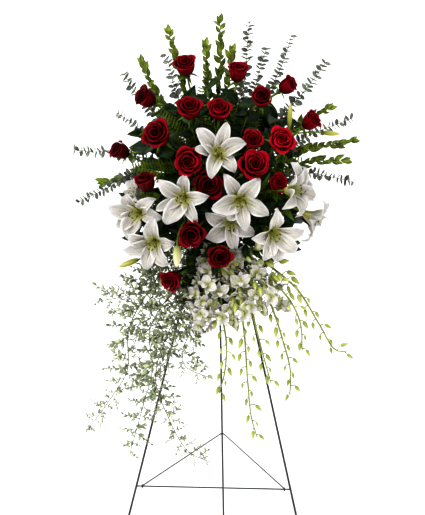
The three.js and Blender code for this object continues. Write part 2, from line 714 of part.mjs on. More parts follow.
// A five-pointed open floret whose back narrows to its stalk
function floret(foot, direction, size, roll) {
  const back = 0.55 * size;
  return ringBody(10, 2, (i, j) => {
    if (j !== 1) return v(0, 0, j === 0 ? back + 2 : 0);
    const turn = (2 * Math.PI * i) / 10;
    const ring = (i % 2 ? 0.26 : 0.5) * size;
    return v(ring * Math.cos(turn), ring * Math.sin(turn), back);
  }, facing(foot, direction, roll));
}

function dressOrchids(runs, index, keep, { florets, buds }) {
  alongStem(runs, florets[index], 0.28, 0.54, (k, t, spot, heading) => {
    const turn = degrees(90) + (k % 2 ? 1.1 : -1.1) + 0.3 * vary(index * 5 + k);
    const direction = outward(heading, turn).addScaledVector(heading, 0.15);
    keep(floret(spot, direction, 42 + 4 * vary(index * 3 + k), k));
  });
  alongStem(runs, buds[index], 0.6, 0.97, (k, t, spot, heading) => {
    const turn = (k % 2 ? 0.5 : Math.PI - 0.5) + 0.5 * vary(index * 11 + k);
    const direction = outward(heading, turn).addScaledVector(heading, 0.7).normalize();
    const tip = spot.clone().addScaledVector(direction, 40 - 16 * t);
    keep(spindle(spot, tip, 4 - 1.2 * t, 3, 0.72));
  });
}

// Fine trailing vines
const VINES = {
  vines_left: {
    root: [-61, 148, 50],
    leaves: [12, 6, 12],
    routes: [
      [[-110, -160, 960], [-165, -200, 885], [-220, -215, 780], [-225, -210, 670], [-275, -205, 585],
        [-340, -200, 495]],
      [[-120, -150, 950], [-170, -180, 910], [-220, -195, 870], [-300, -195, 850]],
      [[-80, -160, 900], [-120, -190, 860], [-165, -210, 780], [-160, -205, 670], [-185, -200, 575],
        [-225, -195, 430]],
    ],
  },
  vines_front: {
    root: [-28, 176, 62],
    leaves: [14, 5, 7],
    routes: [
      [[-60, -175, 880], [-125, -225, 755], [-150, -220, 650], [-120, -215, 550], [-65, -210, 450],
        [-5, -205, 420]],
      [[-50, -180, 880], [-45, -215, 850], [-60, -210, 795], [-35, -205, 740]],
      [[-56, -165, 850], [-60, -195, 775], [-80, -195, 725], [-75, -195, 680], [-5, -190, 645]],
    ],
  },
};

function dressVines(runs, index, keep, { leaves }) {
  alongStem(runs, leaves[index], 0.2, 0.99, (k, t, spot, heading) => {
    const direction = outward(heading, k * GOLDEN_ANGLE).addScaledVector(heading, 0.6);
    const length = 20 + 4 * vary(index * 19 + k);
    keep(leaf(spot, direction, v(vary(k + 5), -1, 0.6), { length, width: 8, thickness: 1.2, stations: 2 }));
  });
}

// Broad dark leaves that fill the ground behind the blooms
const BROAD_LEAVES = {
  broad_leaves_left: {
    root: [-61, 60, 42],
    routes: [
      [[-90, -75, 1120], [-150, -90, 1095], [-205, -105, 1075]],
      [[-90, -72, 1065], [-140, -100, 1030], [-185, -115, 985]],
      [[-90, -75, 1170], [-145, -110, 1210], [-180, -110, 1270]],
    ],
  },
  broad_leaves_top: {
    root: [4, -66, 58],
    routes: [
      [[-25, -78, 1250], [-62, -88, 1300], [-95, -92, 1345]],
      [[25, -60, 1265], [45, -118, 1310], [60, -125, 1365]],
      [[66, -38, 1244], [125, -62, 1276], [165, -105, 1320]],
    ],
  },
  broad_leaves_right: {
    root: [61, 60, 42],
    routes: [
      [[90, -85, 1130], [150, -120, 1120], [200, -125, 1105]],
      [[90, -85, 1070], [140, -130, 1030], [170, -145, 985]],
    ],
  },
  broad_leaves_low: {
    root: [2, 176, 46],
    routes: [
      [[20, -110, 950], [40, -140, 910], [45, -150, 860]],
      [[-15, -110, 950], [-30, -140, 910], [-30, -150, 860]],
    ],
  },
};

function dressBroadLeaves(runs, index, keep) {
  alongStem(runs, 4, 0.4, 0.96, (k, t, spot, heading) => {
    const turn = (k % 2 ? Math.PI : 0) + 0.5 * vary(index * 23 + k);
    const direction = outward(heading, turn).multiplyScalar(0.8).addScaledVector(heading, 0.6);
    const size = { length: 74 + 8 * vary(index + k), width: 38, droop: 0.12 };
    keep(leaf(spot, direction, v(0.3 * vary(k + 3), -1, 0.5), size));
  });
}

function growAll(bunches, makeup) {
  Object.entries(bunches).forEach(([name, bunch]) => growSpray(name, bunch, makeup));
}

addEasel();
addNode('foam_tray', tray(), TRAY_GREEN);
addFlowers();
growAll(ORCHIDS, { radius: ORCHID_STEM, steps: 6, material: ORCHID_GREEN, dress: dressOrchids });
growAll(EUCALYPTUS, { radius: SPRAY_STEM, steps: 4, material: GREY_GREEN, dress: dressEucalyptus });
growAll(RUSCUS, { radius: SPRAY_STEM, steps: 4, material: LEAF_GREEN, dress: dressRuscus });
growAll(VINES, { radius: VINE_STEM, steps: 7, material: GREY_GREEN, dress: dressVines });
growAll(BROAD_LEAVES, { radius: BROAD_STEM, steps: 3, material: DEEP_GREEN, dress: dressBroadLeaves });
dressSprays();
addNode('floral_foam', foamBlock().subtract(joined(holes)), FOAM_GREEN);

// The whole stands with its feet on the floor and its box centred on the origin
const part = new THREE.Group();
part.add(flowers);
const whole = new THREE.Box3().setFromObject(flowers);
const middle = whole.getCenter(v(0, 0, 0));
flowers.position.set(-middle.x, -middle.y, -whole.min.z);
part.updateMatrixWorld(true);

export default part;
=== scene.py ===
"""A standing funeral spray: roses, lilies, orchids and greens in floral foam on a folding wire easel."""

from math import acos, atan2, cos, exp, pi, radians, sin

import bpy
from mathutils import Matrix, Vector


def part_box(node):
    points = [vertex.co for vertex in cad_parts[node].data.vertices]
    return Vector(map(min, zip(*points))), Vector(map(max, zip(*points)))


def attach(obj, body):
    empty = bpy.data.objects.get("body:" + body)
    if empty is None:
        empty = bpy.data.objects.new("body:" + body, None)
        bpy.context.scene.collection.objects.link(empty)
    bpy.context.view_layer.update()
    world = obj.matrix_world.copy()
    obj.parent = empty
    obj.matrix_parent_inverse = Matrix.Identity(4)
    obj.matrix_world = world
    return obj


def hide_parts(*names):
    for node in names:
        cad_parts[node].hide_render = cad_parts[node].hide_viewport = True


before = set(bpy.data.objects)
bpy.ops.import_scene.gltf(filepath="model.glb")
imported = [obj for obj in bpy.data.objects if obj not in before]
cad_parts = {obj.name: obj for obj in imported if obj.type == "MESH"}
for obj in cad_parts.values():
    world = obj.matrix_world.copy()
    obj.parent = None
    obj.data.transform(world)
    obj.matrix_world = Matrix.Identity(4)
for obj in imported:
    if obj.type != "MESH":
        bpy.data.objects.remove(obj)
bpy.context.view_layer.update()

# Every list of places below is in millimetres, from the point on the floor under the easel's top bar
MM = 0.001
EASEL_HEIGHT = 1.14
bar_low, bar_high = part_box("top_bar")
SHIFT = (bar_low + bar_high) / 2 - Vector((0, 0, EASEL_HEIGHT))
GOLDEN_ANGLE = radians(137.508)
UP = Vector((0, 0, 1))
TO_VIEWER = Vector((0, -1, 0))


def spot(point):
    return Vector(point) * MM + SHIFT


def vary(k):
    """A number from -1 to 1 that looks random and is always the same for the same k."""
    return 2 * (sin(k * 12.9898) * 43758.5453 % 1) - 1


def polar(ring, turn, height):
    return Vector((ring * cos(turn), ring * sin(turn), height))


# Frames

def basis(x, y, z, origin, size):
    matrix = Matrix((x, y, z)).transposed().to_4x4()
    matrix.translation = origin
    return matrix @ Matrix.Scale(size, 4)


def facing(origin, direction, roll=0.0, size=1.0):
    """Local Z is the direction, local X stays level, and roll turns both about Z."""
    z = direction.normalized()
    x = Vector((-z.y, z.x, 0))
    x = x.normalized() if x.length > 1e-3 else Vector((1, 0, 0))
    return basis(x, z.cross(x), z, origin, size) @ Matrix.Rotation(roll, 4, "Z")


def leaf_frame(origin, along, face, size):
    """Local Z runs along a leaf and local Y is its upper face."""
    z = along.normalized()
    x = face.cross(z)
    x = x.normalized() if x.length > 1e-4 else z.orthogonal().normalized()
    return basis(x, z.cross(x), z, origin, size)


def outward(heading, turn):
    """Square to a stem: turned by an angle from its side, as the viewer sees it, to its front."""
    side = heading.cross(TO_VIEWER)
    side = side.normalized() if side.length > 0.03 else Vector((1, 0, 0))
    front = side.cross(heading).normalized()
    return side * cos(turn) + front * sin(turn)


# Lines
CURVE_STEPS = 20


def evenly(points, count):
    """count + 1 points evenly spaced along a chain of points."""
    reach = [0.0]
    for a, b in zip(points, points[1:]):
        reach.append(reach[-1] + (b - a).length)
    found = []
    k = 0
    for i in range(count + 1):
        target = reach[-1] * i / count
        while k < len(points) - 2 and reach[k + 1] < target:
            k += 1
        span = reach[k + 1] - reach[k]
        found.append(points[k].lerp(points[k + 1], (target - reach[k]) / span if span else 0))
    return found


def smooth_line(points, count):
    """The centripetal curve through the points, as count + 1 evenly spaced points."""
    dense = []
    last = len(points) - 1
    for k in range(last):
        a = points[k - 1] if k else points[0] * 2 - points[1]
        b, c = points[k], points[k + 1]
        d = points[k + 2] if k + 2 <= last else points[last] * 2 - points[last - 1]
        ab, bc, cd = (max((q - p).length ** 0.5, 1e-4) for p, q in ((a, b), (b, c), (c, d)))
        m1 = ((b - a) / ab - (c - a) / (ab + bc) + (c - b) / bc) * bc
        m2 = ((c - b) / bc - (d - b) / (bc + cd) + (d - c) / cd) * bc
        for i in range(CURVE_STEPS):
            t = i / CURVE_STEPS
            square = b * -3 + c * 3 - m1 * 2 - m2
            cube = b * 2 - c * 2 + m1 + m2
            dense.append(b + m1 * t + square * t * t + cube * t ** 3)
    dense.append(points[last])
    return evenly(dense, count)


def bezier(start, out, bend, end, count):
    shares = [i / count for i in range(count + 1)]
    return [start * (1 - t) ** 3 + out * 3 * (1 - t) ** 2 * t + bend * 3 * (1 - t) * t * t + end * t ** 3
            for t in shares]


class Line:
    """A stem's centre line, read by the share of its length."""

    def __init__(self, points):
        self.points = points
        self.length = sum((b - a).length for a, b in zip(points, points[1:]))

    def spot(self, t):
        x = min(max(t, 0), 1) * (len(self.points) - 1)
        k = min(int(x), len(self.points) - 2)
        return self.points[k].lerp(self.points[k + 1], x - k)

    def heading(self, t):
        step = 1 / (len(self.points) - 1)
        return (self.spot(t + step) - self.spot(t - step)).normalized()

    def places(self, start, end, count):
        """The number, share, spot and heading of each of some places, evenly spread between two shares."""
        for k in range(count):
            t = start + (end - start) * k / (count - 1)
            yield k, t, self.spot(t), self.heading(t)


# Making meshes

def add_object(name, data):
    thing = bpy.data.objects.new(name, data)
    bpy.context.collection.objects.link(thing)
    return thing


def pick(piece):
    bpy.ops.object.select_all(action="DESELECT")
    piece.select_set(True)
    bpy.context.view_layer.objects.active = piece


def clean(piece, gap=1e-6):
    """Merges what lies on the same spot and makes the piece smooth."""
    pick(piece)
    bpy.ops.object.mode_set(mode="EDIT")
    bpy.ops.mesh.select_all(action="SELECT")
    bpy.ops.mesh.remove_doubles(threshold=gap)
    bpy.ops.object.mode_set(mode="OBJECT")
    bpy.ops.object.shade_smooth()


def blade(across, along, shape, thickness, material):
    """A petal or leaf: a grid bent to shape(s, v), where s runs from -1 to 1 and v from 0 to 1."""
    bpy.ops.mesh.primitive_grid_add(x_subdivisions=across, y_subdivisions=along, size=1, calc_uvs=True)
    piece = bpy.context.object
    for vertex in piece.data.vertices:
        vertex.co = shape(2 * vertex.co.x, vertex.co.y + 0.5)
    clean(piece)
    solid = piece.modifiers.new("Solidify", "SOLIDIFY")
    solid.thickness = thickness
    solid.offset = 0
    bpy.ops.object.modifier_apply(modifier=solid.name)
    piece.data.materials.append(material)
    return piece


def round_body(sides, rings, shape, material):
    """A bud, calyx or anther: a sphere drawn out to shape(turn, v), where v runs from 0 at its foot to 1."""
    bpy.ops.mesh.primitive_uv_sphere_add(segments=sides, ring_count=rings, radius=1, calc_uvs=True)
    piece = bpy.context.object
    for vertex in piece.data.vertices:
        v = 1 - acos(max(-1, min(1, vertex.co.z))) / pi
        vertex.co = shape(atan2(vertex.co.y, vertex.co.x), v)
    clean(piece)
    piece.data.materials.append(material)
    return piece


def stem(points, radii, material, sides=2):
    """A round stem along the points, with a radius for its start and one for its end."""
    curve = bpy.data.curves.new("stem", "CURVE")
    curve.dimensions = "3D"
    curve.bevel_depth = 1
    curve.bevel_resolution = sides
    curve.use_fill_caps = True
    spline = curve.splines.new("POLY")
    spline.points.add(len(points) - 1)
    for k, point in enumerate(points):
        spline.points[k].co = (*point, 1)
        spline.points[k].radius = radii[0] + (radii[1] - radii[0]) * k / (len(points) - 1)
    pick(add_object("stem", curve))
    bpy.ops.object.convert(target="MESH")
    piece = bpy.context.object
    clean(piece, 1e-7)
    piece.data.materials.clear()
    piece.data.materials.append(material)
    return piece


def lighten(piece, amount):
    """Shifts the tone, from 0 to 1, that the finishes read: each leaf or petal's own random shade, and on
    roses and lilies also painted light and shade.
    """
    tones = piece.data.attributes.get("tone")
    found = [0.5] * len(piece.data.vertices)
    if tones:
        tones.data.foreach_get("value", found)
    else:
        tones = piece.data.attributes.new("tone", "FLOAT", "POINT")
    tones.data.foreach_set("value", [tone + amount for tone in found])


def copy_of(shape, matrix, lighter=0.0):
    piece = add_object(shape.name, shape.data.copy())
    piece.data.transform(matrix)
    lighten(piece, lighter)
    return piece


def joined(name, pieces):
    pick(pieces[0])
    for piece in pieces:
        if "tone" not in piece.data.attributes:
            lighten(piece, 0)
        piece.select_set(True)
    bpy.ops.object.join()
    whole = bpy.context.object
    whole.name = name
    whole.data.name = name
    return whole


models = []


def model(piece):
    """Keeps a shape that is only copied, until the models are cleared away at the end."""
    models.append(piece)
    return piece


def on_frame(piece, slot, *nodes):
    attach(piece, "frame")
    if nodes:
        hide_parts(*nodes)


# Finishes

class Nodes:
    """The nodes of a material or of the world, with a few shorthands."""

    def __init__(self, owner):
        owner.use_nodes = True
        self.nodes = owner.node_tree.nodes
        self.links = owner.node_tree.links

    def put(self, socket, value):
        if isinstance(value, bpy.types.NodeSocket):
            self.links.new(value, socket)
        else:
            socket.default_value = value

    def fill(self, node, **values):
        """Sets a node's sockets and settings. In the name of a socket, _ stands for a space."""
        for name, value in values.items():
            socket = name.replace("_", " ")
            if socket in node.inputs:
                self.put(node.inputs[socket], value)
            else:
                setattr(node, name, value)
        return node

    def add(self, kind, **values):
        return self.fill(self.nodes.new("ShaderNode" + kind), **values)

    def band(self, value, low, high, to_low=0.0, to_high=1.0):
        """value from low to high, stretched to to_low and to_high and held there."""
        node = self.add("MapRange", Value=value, From_Min=low, From_Max=high, To_Min=to_low,
                        To_Max=to_high)
        return node.outputs["Result"]


class Finish(Nodes):
    """A material whose nodes read each piece's U and V, its place and its tone."""

    def __init__(self, name, roughness, **sockets):
        self.material = bpy.data.materials.new(name)
        super().__init__(self.material)
        self.shader = self.nodes["Principled BSDF"]
        self.fill(self.shader, Roughness=roughness, **sockets)
        self.uv = self.add("UVMap").outputs["UV"]
        split = self.add("SeparateXYZ", Vector=self.uv)
        self.v = split.outputs["Y"]
        self.off_middle = self.math("ABSOLUTE", self.math("SUBTRACT", split.outputs["X"], 0.5))
        self.place = self.add("TexCoord").outputs["Object"]
        self.tone = self.add("Attribute", attribute_name="tone").outputs["Fac"]

    def math(self, operation, a, b=0.0):
        node = self.add("Math", operation=operation)
        self.put(node.inputs[0], a)
        self.put(node.inputs[1], b)
        return node.outputs[0]

    def ramp(self, value, *stops):
        node = self.add("ValToRGB", Fac=value)
        elements = node.color_ramp.elements
        while len(elements) < len(stops):
            elements.new(0.5)
        for element, (position, colour) in zip(elements, stops):
            element.position = position
            element.color = (*colour, 1)
        return node.outputs["Color"]

    def noise(self, scale, detail, vector=None):
        node = self.add("TexNoise", Vector=vector or self.place, Scale=scale, Detail=detail)
        return node.outputs["Fac"]

    def streaks(self, across, along, detail=2):
        """Noise drawn out from the piece's foot to its tip."""
        node = self.add("Mapping", Vector=self.uv, Scale=(across, along, 1))
        return self.noise(1, detail, node.outputs["Vector"])

    def mix(self, share, a, b):
        node = self.add("Mix", data_type="RGBA")
        for socket, value in ((node.inputs[0], share), (node.inputs[6], a), (node.inputs[7], b)):
            self.put(socket, (*value, 1) if isinstance(value, tuple) else value)
        return node.outputs[2]

    def toned(self, colour, darkest, lightest, full=1):
        """The colour, made darker or lighter by the tone, which counts from 0 to full."""
        value = self.band(self.tone, 0, full, darkest, lightest)
        return self.add("HueSaturation", Color=colour, Value=value).outputs["Color"]

    def made(self, colour, height, strength, distance, rough=None):
        """The material, once it has its colour, its relief and perhaps a roughness that changes."""
        bump = self.add("Bump", Height=height, Strength=strength, Distance=distance)
        self.fill(self.shader, Base_Color=colour, Normal=bump.outputs["Normal"])
        if rough:
            self.fill(self.shader, Roughness=rough)
        return self.material


# Camera, floor and light

CAMERA_PLACE = Vector((0.18314, -3.19386, 1.499))
CAMERA_ANGLES = (80, 0, 3.55)
LENS = 82.85
SENSOR_WIDTH = 36
FLOOR_WIDTH = 600


def add_camera():
    data = bpy.data.cameras.new("camera")
    data.lens = LENS
    data.sensor_width = SENSOR_WIDTH
    camera = add_object("camera", data)
    camera.location = CAMERA_PLACE + SHIFT
    camera.rotation_euler = [radians(angle) for angle in CAMERA_ANGLES]
    bpy.context.scene.camera = camera


def add_floor():
    bpy.ops.mesh.primitive_plane_add(size=FLOOR_WIDTH)
    floor = bpy.context.object
    floor.name = "floor"
    f = Finish("pale_floor", 0.9)
    colour = f.mix(f.band(f.noise(3, 2), 0.3, 0.7), (0.9, 0.9, 0.9), (0.92, 0.92, 0.92))
    f.fill(f.shader, Base_Color=colour)
    floor.data.materials.append(f.material)


def add_sun(name, toward, strength, softness):
    data = bpy.data.lights.new(name, "SUN")
    data.energy = strength
    data.angle = radians(softness)
    add_object(name, data).rotation_euler = (-Vector(toward)).to_track_quat("-Z", "Y").to_euler()


def add_world():
    """White along the horizon and dimmer overhead, so that petals and leaves take some shade."""
    world = bpy.data.worlds.new("studio")
    sky = Nodes(world)
    place = sky.add("TexCoord").outputs["Generated"]
    height = sky.add("SeparateXYZ", Vector=place).outputs["Z"]
    strength = sky.band(height, low=0.15, high=0.6, to_low=1.05, to_high=0.35)
    sky.fill(sky.nodes["Background"], Color=(1, 1, 1, 1), Strength=strength)
    bpy.context.scene.world = world


add_camera()
add_floor()
add_sun("key", (-0.45, -0.5, 0.74), strength=2.0, softness=40)
add_sun("top", (0.25, 0.35, 0.9), strength=0.8, softness=60)
add_world()
bpy.context.scene.view_settings.view_transform = "Standard"
bpy.context.scene.view_settings.look = "High Contrast"


# Petals, buds, leaves, stems, foam, tray and wire

WHITE_PETAL = {"Subsurface_Weight": 0.12, "Subsurface_Scale": 0.003, "Subsurface_Radius": (1.0, 0.95, 0.8)}


def rose_petal_finish():
    f = Finish("rose_petal", 0.6, Specular_IOR_Level=0.1, Subsurface_Weight=0.04, Subsurface_Scale=0.003,
               Subsurface_Radius=(1.0, 0.02, 0.02))
    # The petal's own crimson, darkened towards its foot deep in the bloom as painted shade.
    crimson_with_painted_shade = f.ramp(f.v, (0.0, (0.006, 0, 0.0004)), (0.4, (0.07, 0, 0.002)), (0.75, (0.16, 0, 0.006)),
                   (1.0, (0.26, 0, 0.012)))
    colour = f.mix(f.band(f.streaks(16, 2.2), 0.35, 0.7, 0, 0.55), crimson_with_painted_shade, (0.035, 0, 0.001))
    # The tone darkens inner rows and some whole roses and lightens others: painted light and shade.
    colour = f.toned(colour, 0.2, 2.4, 1.6)
    return f.made(colour, f.streaks(40, 4), 0.35, 0.0008)


def lily_petal_finish():
    f = Finish("lily_petal", 0.45, **WHITE_PETAL)
    # Grey in the middle and streaked darker along its length: painted shade on the tepal. The tone then makes
    # whole lilies lighter or darker, as painted light and shade.
    colour = f.mix(f.band(f.streaks(24, 1.2, 3), 0.36, 0.66), (0.63, 0.6, 0.56), (0.29, 0.265, 0.24))
    colour = f.toned(colour, 0.7, 1.3)
    # Near white towards the edges and the tip: painted highlight.
    painted_edge_highlight = f.math("MAXIMUM", f.band(f.off_middle, 0.38, 0.49), f.band(f.v, 0.66, 0.95))
    colour = f.mix(f.math("MULTIPLY", painted_edge_highlight, 0.75), colour, (0.86, 0.855, 0.84))
    rib = f.math("MULTIPLY", f.band(f.off_middle, 0, 0.08, 1, 0), f.band(f.v, 0.25, 0.65, 0.8, 0))
    colour = f.mix(rib, colour, (0.46, 0.47, 0.16))
    throat = f.band(f.v, 0.08, 0.34, 0.95, 0)
    height = f.math("ADD", f.streaks(20, 1.4, 3), f.math("MULTIPLY", rib, -1.6))
    return f.made(f.mix(throat, colour, (0.78, 0.76, 0.15)), height, 1.0, 0.003)


def orchid_petal_finish():
    f = Finish("orchid_petal", 0.45, **WHITE_PETAL)
    streaks = f.streaks(20, 1.5)
    # Near white, greyer along the streaks: painted shade on the petal.
    white_with_painted_shade = f.mix(f.band(streaks, 0.36, 0.66), (0.76, 0.74, 0.7), (0.38, 0.36, 0.3))
    return f.made(f.mix(f.band(f.v, 0.02, 0.5, 0.95, 0), white_with_painted_shade, (0.32, 0.34, 0.08)), streaks, 0.6, 0.0012)


def bud_finish(name, foot, middle, tip):
    f = Finish(name, 0.42, Subsurface_Weight=0.1, Subsurface_Scale=0.003)
    streaks = f.streaks(30, 1.5)
    colour = f.ramp(f.v, (0.0, foot), (0.45, middle), (1.0, tip))
    colour = f.mix(f.band(streaks, 0.45, 0.7, 0, 0.35), colour, foot)
    return f.made(f.toned(colour, 0.8, 1.2), streaks, 0.3, 0.0008)


def leaf_finish(name, deep, light, rib, roughness, veins=14.0, powder=0.0):
    """A leaf: a light midrib, side veins that run up and out, blotches and a shade of its own."""
    f = Finish(name, roughness, Specular_IOR_Level=0.3, Subsurface_Weight=0.05, Subsurface_Scale=0.002)
    slant = f.math("SUBTRACT", f.v, f.math("MULTIPLY", f.off_middle, 0.7))
    side = f.math("ABSOLUTE", f.math("SINE", f.math("MULTIPLY", slant, veins * pi)))
    side = f.band(side, 0, 0.22, 1, 0)
    middle = f.band(f.off_middle, 0.015, 0.06, 1, 0)
    blotch = f.noise(60, 3)
    colour = f.mix(f.band(blotch, 0.35, 0.7), deep, light)
    colour = f.mix(f.math("MULTIPLY", side, 0.35), colour, rib)
    colour = f.mix(f.math("MULTIPLY", middle, 0.75), colour, rib)
    if powder:
        colour = f.mix(f.band(f.noise(220, 4), 0.4, 0.7, 0, powder), colour, (0.44, 0.49, 0.43))
    colour = f.toned(colour, 0.45, 1.6)
    veined = f.math("ADD", f.math("MULTIPLY", side, -0.5), f.math("MULTIPLY", middle, -1.0))
    height = f.math("ADD", veined, f.math("MULTIPLY", blotch, 0.6))
    return f.made(colour, height, 0.45, 0.0008, f.band(blotch, 0.3, 0.7, roughness - 0.08, roughness + 0.1))


def stem_finish(name, deep, light):
    f = Finish(name, 0.5)
    colour = f.mix(f.band(f.noise(35, 3), 0.35, 0.65), deep, light)
    colour = f.mix(f.band(f.noise(400, 2), 0.6, 0.8, 0, 0.4), colour, (0.1, 0.08, 0.02))
    return f.made(colour, f.noise(700, 2), 0.2, 0.0004)


def anther_finish():
    f = Finish("anther", 0.9)
    colour = f.mix(f.band(f.noise(900, 3), 0.4, 0.6), (0.018, 0.012, 0.01), (0.1, 0.045, 0.012))
    return f.made(colour, f.noise(2500, 2), 0.8, 0.0003)


def foam_finish():
    f = Finish("wet_foam", 0.95)
    cells = f.add("TexVoronoi", Vector=f.place, Scale=900.0).outputs["Distance"]
    crumbs = f.noise(90, 5)
    colour = f.mix(f.band(crumbs, 0.35, 0.65), (0.03, 0.075, 0.04), (0.06, 0.125, 0.07))
    colour = f.mix(f.band(cells, 0.1, 0.5, 0.5, 0), colour, (0.015, 0.035, 0.02))
    return f.made(colour, f.math("ADD", f.math("MULTIPLY", crumbs, 2.0), cells), 0.9, 0.0015)


def tray_finish():
    f = Finish("tray_plastic", 0.45)
    grain = f.noise(600, 2)
    colour = f.mix(f.band(f.noise(25, 3), 0.3, 0.7), (0.016, 0.045, 0.026), (0.026, 0.06, 0.036))
    return f.made(colour, grain, 0.15, 0.0003, f.band(grain, 0.3, 0.7, 0.38, 0.55))


def wire_finish():
    f = Finish("green_enamel", 0.35, Coat_Weight=0.3, Coat_Roughness=0.25)
    runs = f.noise(120, 3)
    chips = f.band(f.noise(420, 4), 0.7, 0.74)
    enamel = f.mix(f.band(runs, 0.35, 0.7), (0.002, 0.007, 0.006), (0.005, 0.013, 0.012))
    colour = f.mix(chips, enamel, (0.06, 0.065, 0.06))
    return f.made(colour, f.math("SUBTRACT", runs, chips), 0.25, 0.0004, f.band(runs, 0.3, 0.7, 0.3, 0.45))


ROSE_RED = rose_petal_finish()
LILY_WHITE = lily_petal_finish()
ORCHID_WHITE = orchid_petal_finish()
LILY_BUD = bud_finish("lily_bud", (0.12, 0.15, 0.02), (0.34, 0.34, 0.04), (0.5, 0.47, 0.16))
PALE_BUD = bud_finish("pale_bud", (0.2, 0.23, 0.05), (0.46, 0.46, 0.2), (0.74, 0.72, 0.5))
ORCHID_BUD = bud_finish("orchid_bud", (0.17, 0.22, 0.03), (0.33, 0.37, 0.07), (0.52, 0.52, 0.22))
ANTHER = anther_finish()
FILAMENT = stem_finish("filament", (0.25, 0.3, 0.08), (0.38, 0.42, 0.14))
FLOWER_STEM = stem_finish("flower_stem", (0.07, 0.12, 0.008), (0.22, 0.28, 0.02))
ORCHID_STEM = stem_finish("orchid_stem", (0.14, 0.18, 0.02), (0.3, 0.34, 0.07))
TWIG = stem_finish("twig", (0.05, 0.06, 0.02), (0.12, 0.13, 0.05))
SEPAL = leaf_finish("sepal", (0.05, 0.1, 0.008), (0.12, 0.2, 0.015), (0.18, 0.26, 0.04), 0.5)
LILY_LEAF = leaf_finish("lily_leaf", (0.02, 0.06, 0.002), (0.08, 0.16, 0.004), (0.15, 0.24, 0.02), 0.4, 4)
EUCALYPTUS_LEAF = leaf_finish("eucalyptus_leaf", (0.04, 0.052, 0.036), (0.15, 0.172, 0.128),
                              (0.26, 0.29, 0.22), 0.6, 8, 0.28)
RUSCUS_LEAF = leaf_finish("ruscus_leaf", (0.02, 0.04, 0.002), (0.165, 0.215, 0.012),
                          (0.27, 0.33, 0.05), 0.45, 5)
VINE_LEAF = leaf_finish("vine_leaf", (0.19, 0.22, 0.12), (0.38, 0.41, 0.26),
                        (0.5, 0.52, 0.39), 0.65, 6, 0.15)
# Near black: partly the leaves' own dark green, partly painted shade for the gaps between the blooms.
BROAD_LEAF = leaf_finish("broad_leaf", (0.002, 0.01, 0.001), (0.012, 0.04, 0.002),
                         (0.035, 0.08, 0.008), 0.45, 16)
FERN_LEAF = leaf_finish("fern_leaf", (0.024, 0.05, 0.001), (0.13, 0.18, 0.005),
                        (0.18, 0.25, 0.012), 0.6, 20)
FOAM = foam_finish()
TRAY = tray_finish()
WIRE = wire_finish()


# Easel, tray and foam keep their own solids

def finish_nodes(material, *names):
    for name in names:
        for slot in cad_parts[name].material_slots:
            slot.material = material


finish_nodes(WIRE, "front_leg_left", "front_leg_right", "top_bar", "crossbar", "rear_leg", "brace_left",
             "brace_right")
finish_nodes(TRAY, "foam_tray")
finish_nodes(FOAM, "floral_foam")


# Tray plane: down runs along the front legs, out runs to the viewer
FRONT_REACH = 0.312
LEAN = atan2(FRONT_REACH, EASEL_HEIGHT)


def in_tray(across, down, out):
    y = -down * sin(LEAN) - out * cos(LEAN)
    z = EASEL_HEIGHT / MM - down * cos(LEAN) + out * sin(LEAN)
    return spot((across, y, z))


# Blooms: place, size and the way each looks, as its turn to the right and its tilt up, in degrees

def bloom_frame(place, size, look, roll):
    """The frame of a bloom, in parts of its radius."""
    turn, tilt = map(radians, look)
    direction = Vector((sin(turn) * cos(tilt), -cos(turn) * cos(tilt), sin(tilt)))
    return facing(spot(place), direction, roll, size / 2 * MM)


# Roses: the last two numbers are how far each has opened, from 0 to 1, and how much lighter or darker the
# whole rose is painted, as painted light and shade
ROSES = [
    ((-75, -150, 1455), 64, (-8, 48), 0.5, -0.06), ((60, -165, 1440), 63, (15, 55), 0.0, 0.09),
    ((-175, -160, 1375), 64, (-50, 30), 0.5, -0.35), ((120, -175, 1375), 60, (5, 30), 0.5, -0.2),
    ((185, -130, 1405), 56, (60, 30), 0.0, -0.05), ((-60, -205, 1350), 65, (0, 42), 1.0, 0.0),
    ((15, -200, 1345), 62, (5, 40), 1.0, 0.2), ((245, -135, 1315), 59, (50, 35), 0.0, 0.02),
    ((-140, -215, 1285), 75, (-18, 22), 1.0, -0.12), ((-240, -175, 1240), 59, (-45, 25), 0.0, -0.35),
    ((100, -205, 1275), 57, (0, 10), 0.5, 0.28), ((170, -210, 1270), 70, (15, 20), 1.0, 0.8),
    ((-60, -235, 1220), 75, (0, 8), 1.0, 0.2), ((101, -250, 1213), 80, (15, 20), 1.0, 0.3),
    ((-170, -225, 1165), 61, (-25, 60), 0.5, -0.24), ((-10, -215, 1160), 77, (0, 5), 1.0, -0.06),
    ((160, -140, 1155), 58, (25, 10), 0.5, 0.85), ((-50, -260, 1040), 70, (0, -2), 1.0, -0.22),
    ((20, -255, 985), 63, (3, -5), 1.0, -0.25), ((-105, -225, 915), 61, (-25, -12), 0.5, 0.0),
]
# Petals in each row, then the reach and height of its rim, half the turn that one petal wraps, and how
# far its lip rolls out, in parts of the bloom's radius
ROSE_ROWS = [
    (2, 0.07, 0.42, 2.3, 0.00), (3, 0.19, 0.52, 1.55, 0.02), (3, 0.36, 0.56, 1.35, 0.05),
    (4, 0.56, 0.5, 1.1, 0.1), (5, 0.76, 0.26, 0.9, 0.15),
]
LIP_START = 0.76
# How sharply the rim's middle is drawn out to a point, for each of the three models
ROSE_POINTS = {0.0: 0.5, 0.5: 0.45, 1.0: 0.35}
ROSE_CENTRE = Vector((0.06, 0.03, 0))
# Where a rose's petals start, below its centre and out from its axis
ROSE_DEPTH = 0.92
ROSE_FOOT = 0.08


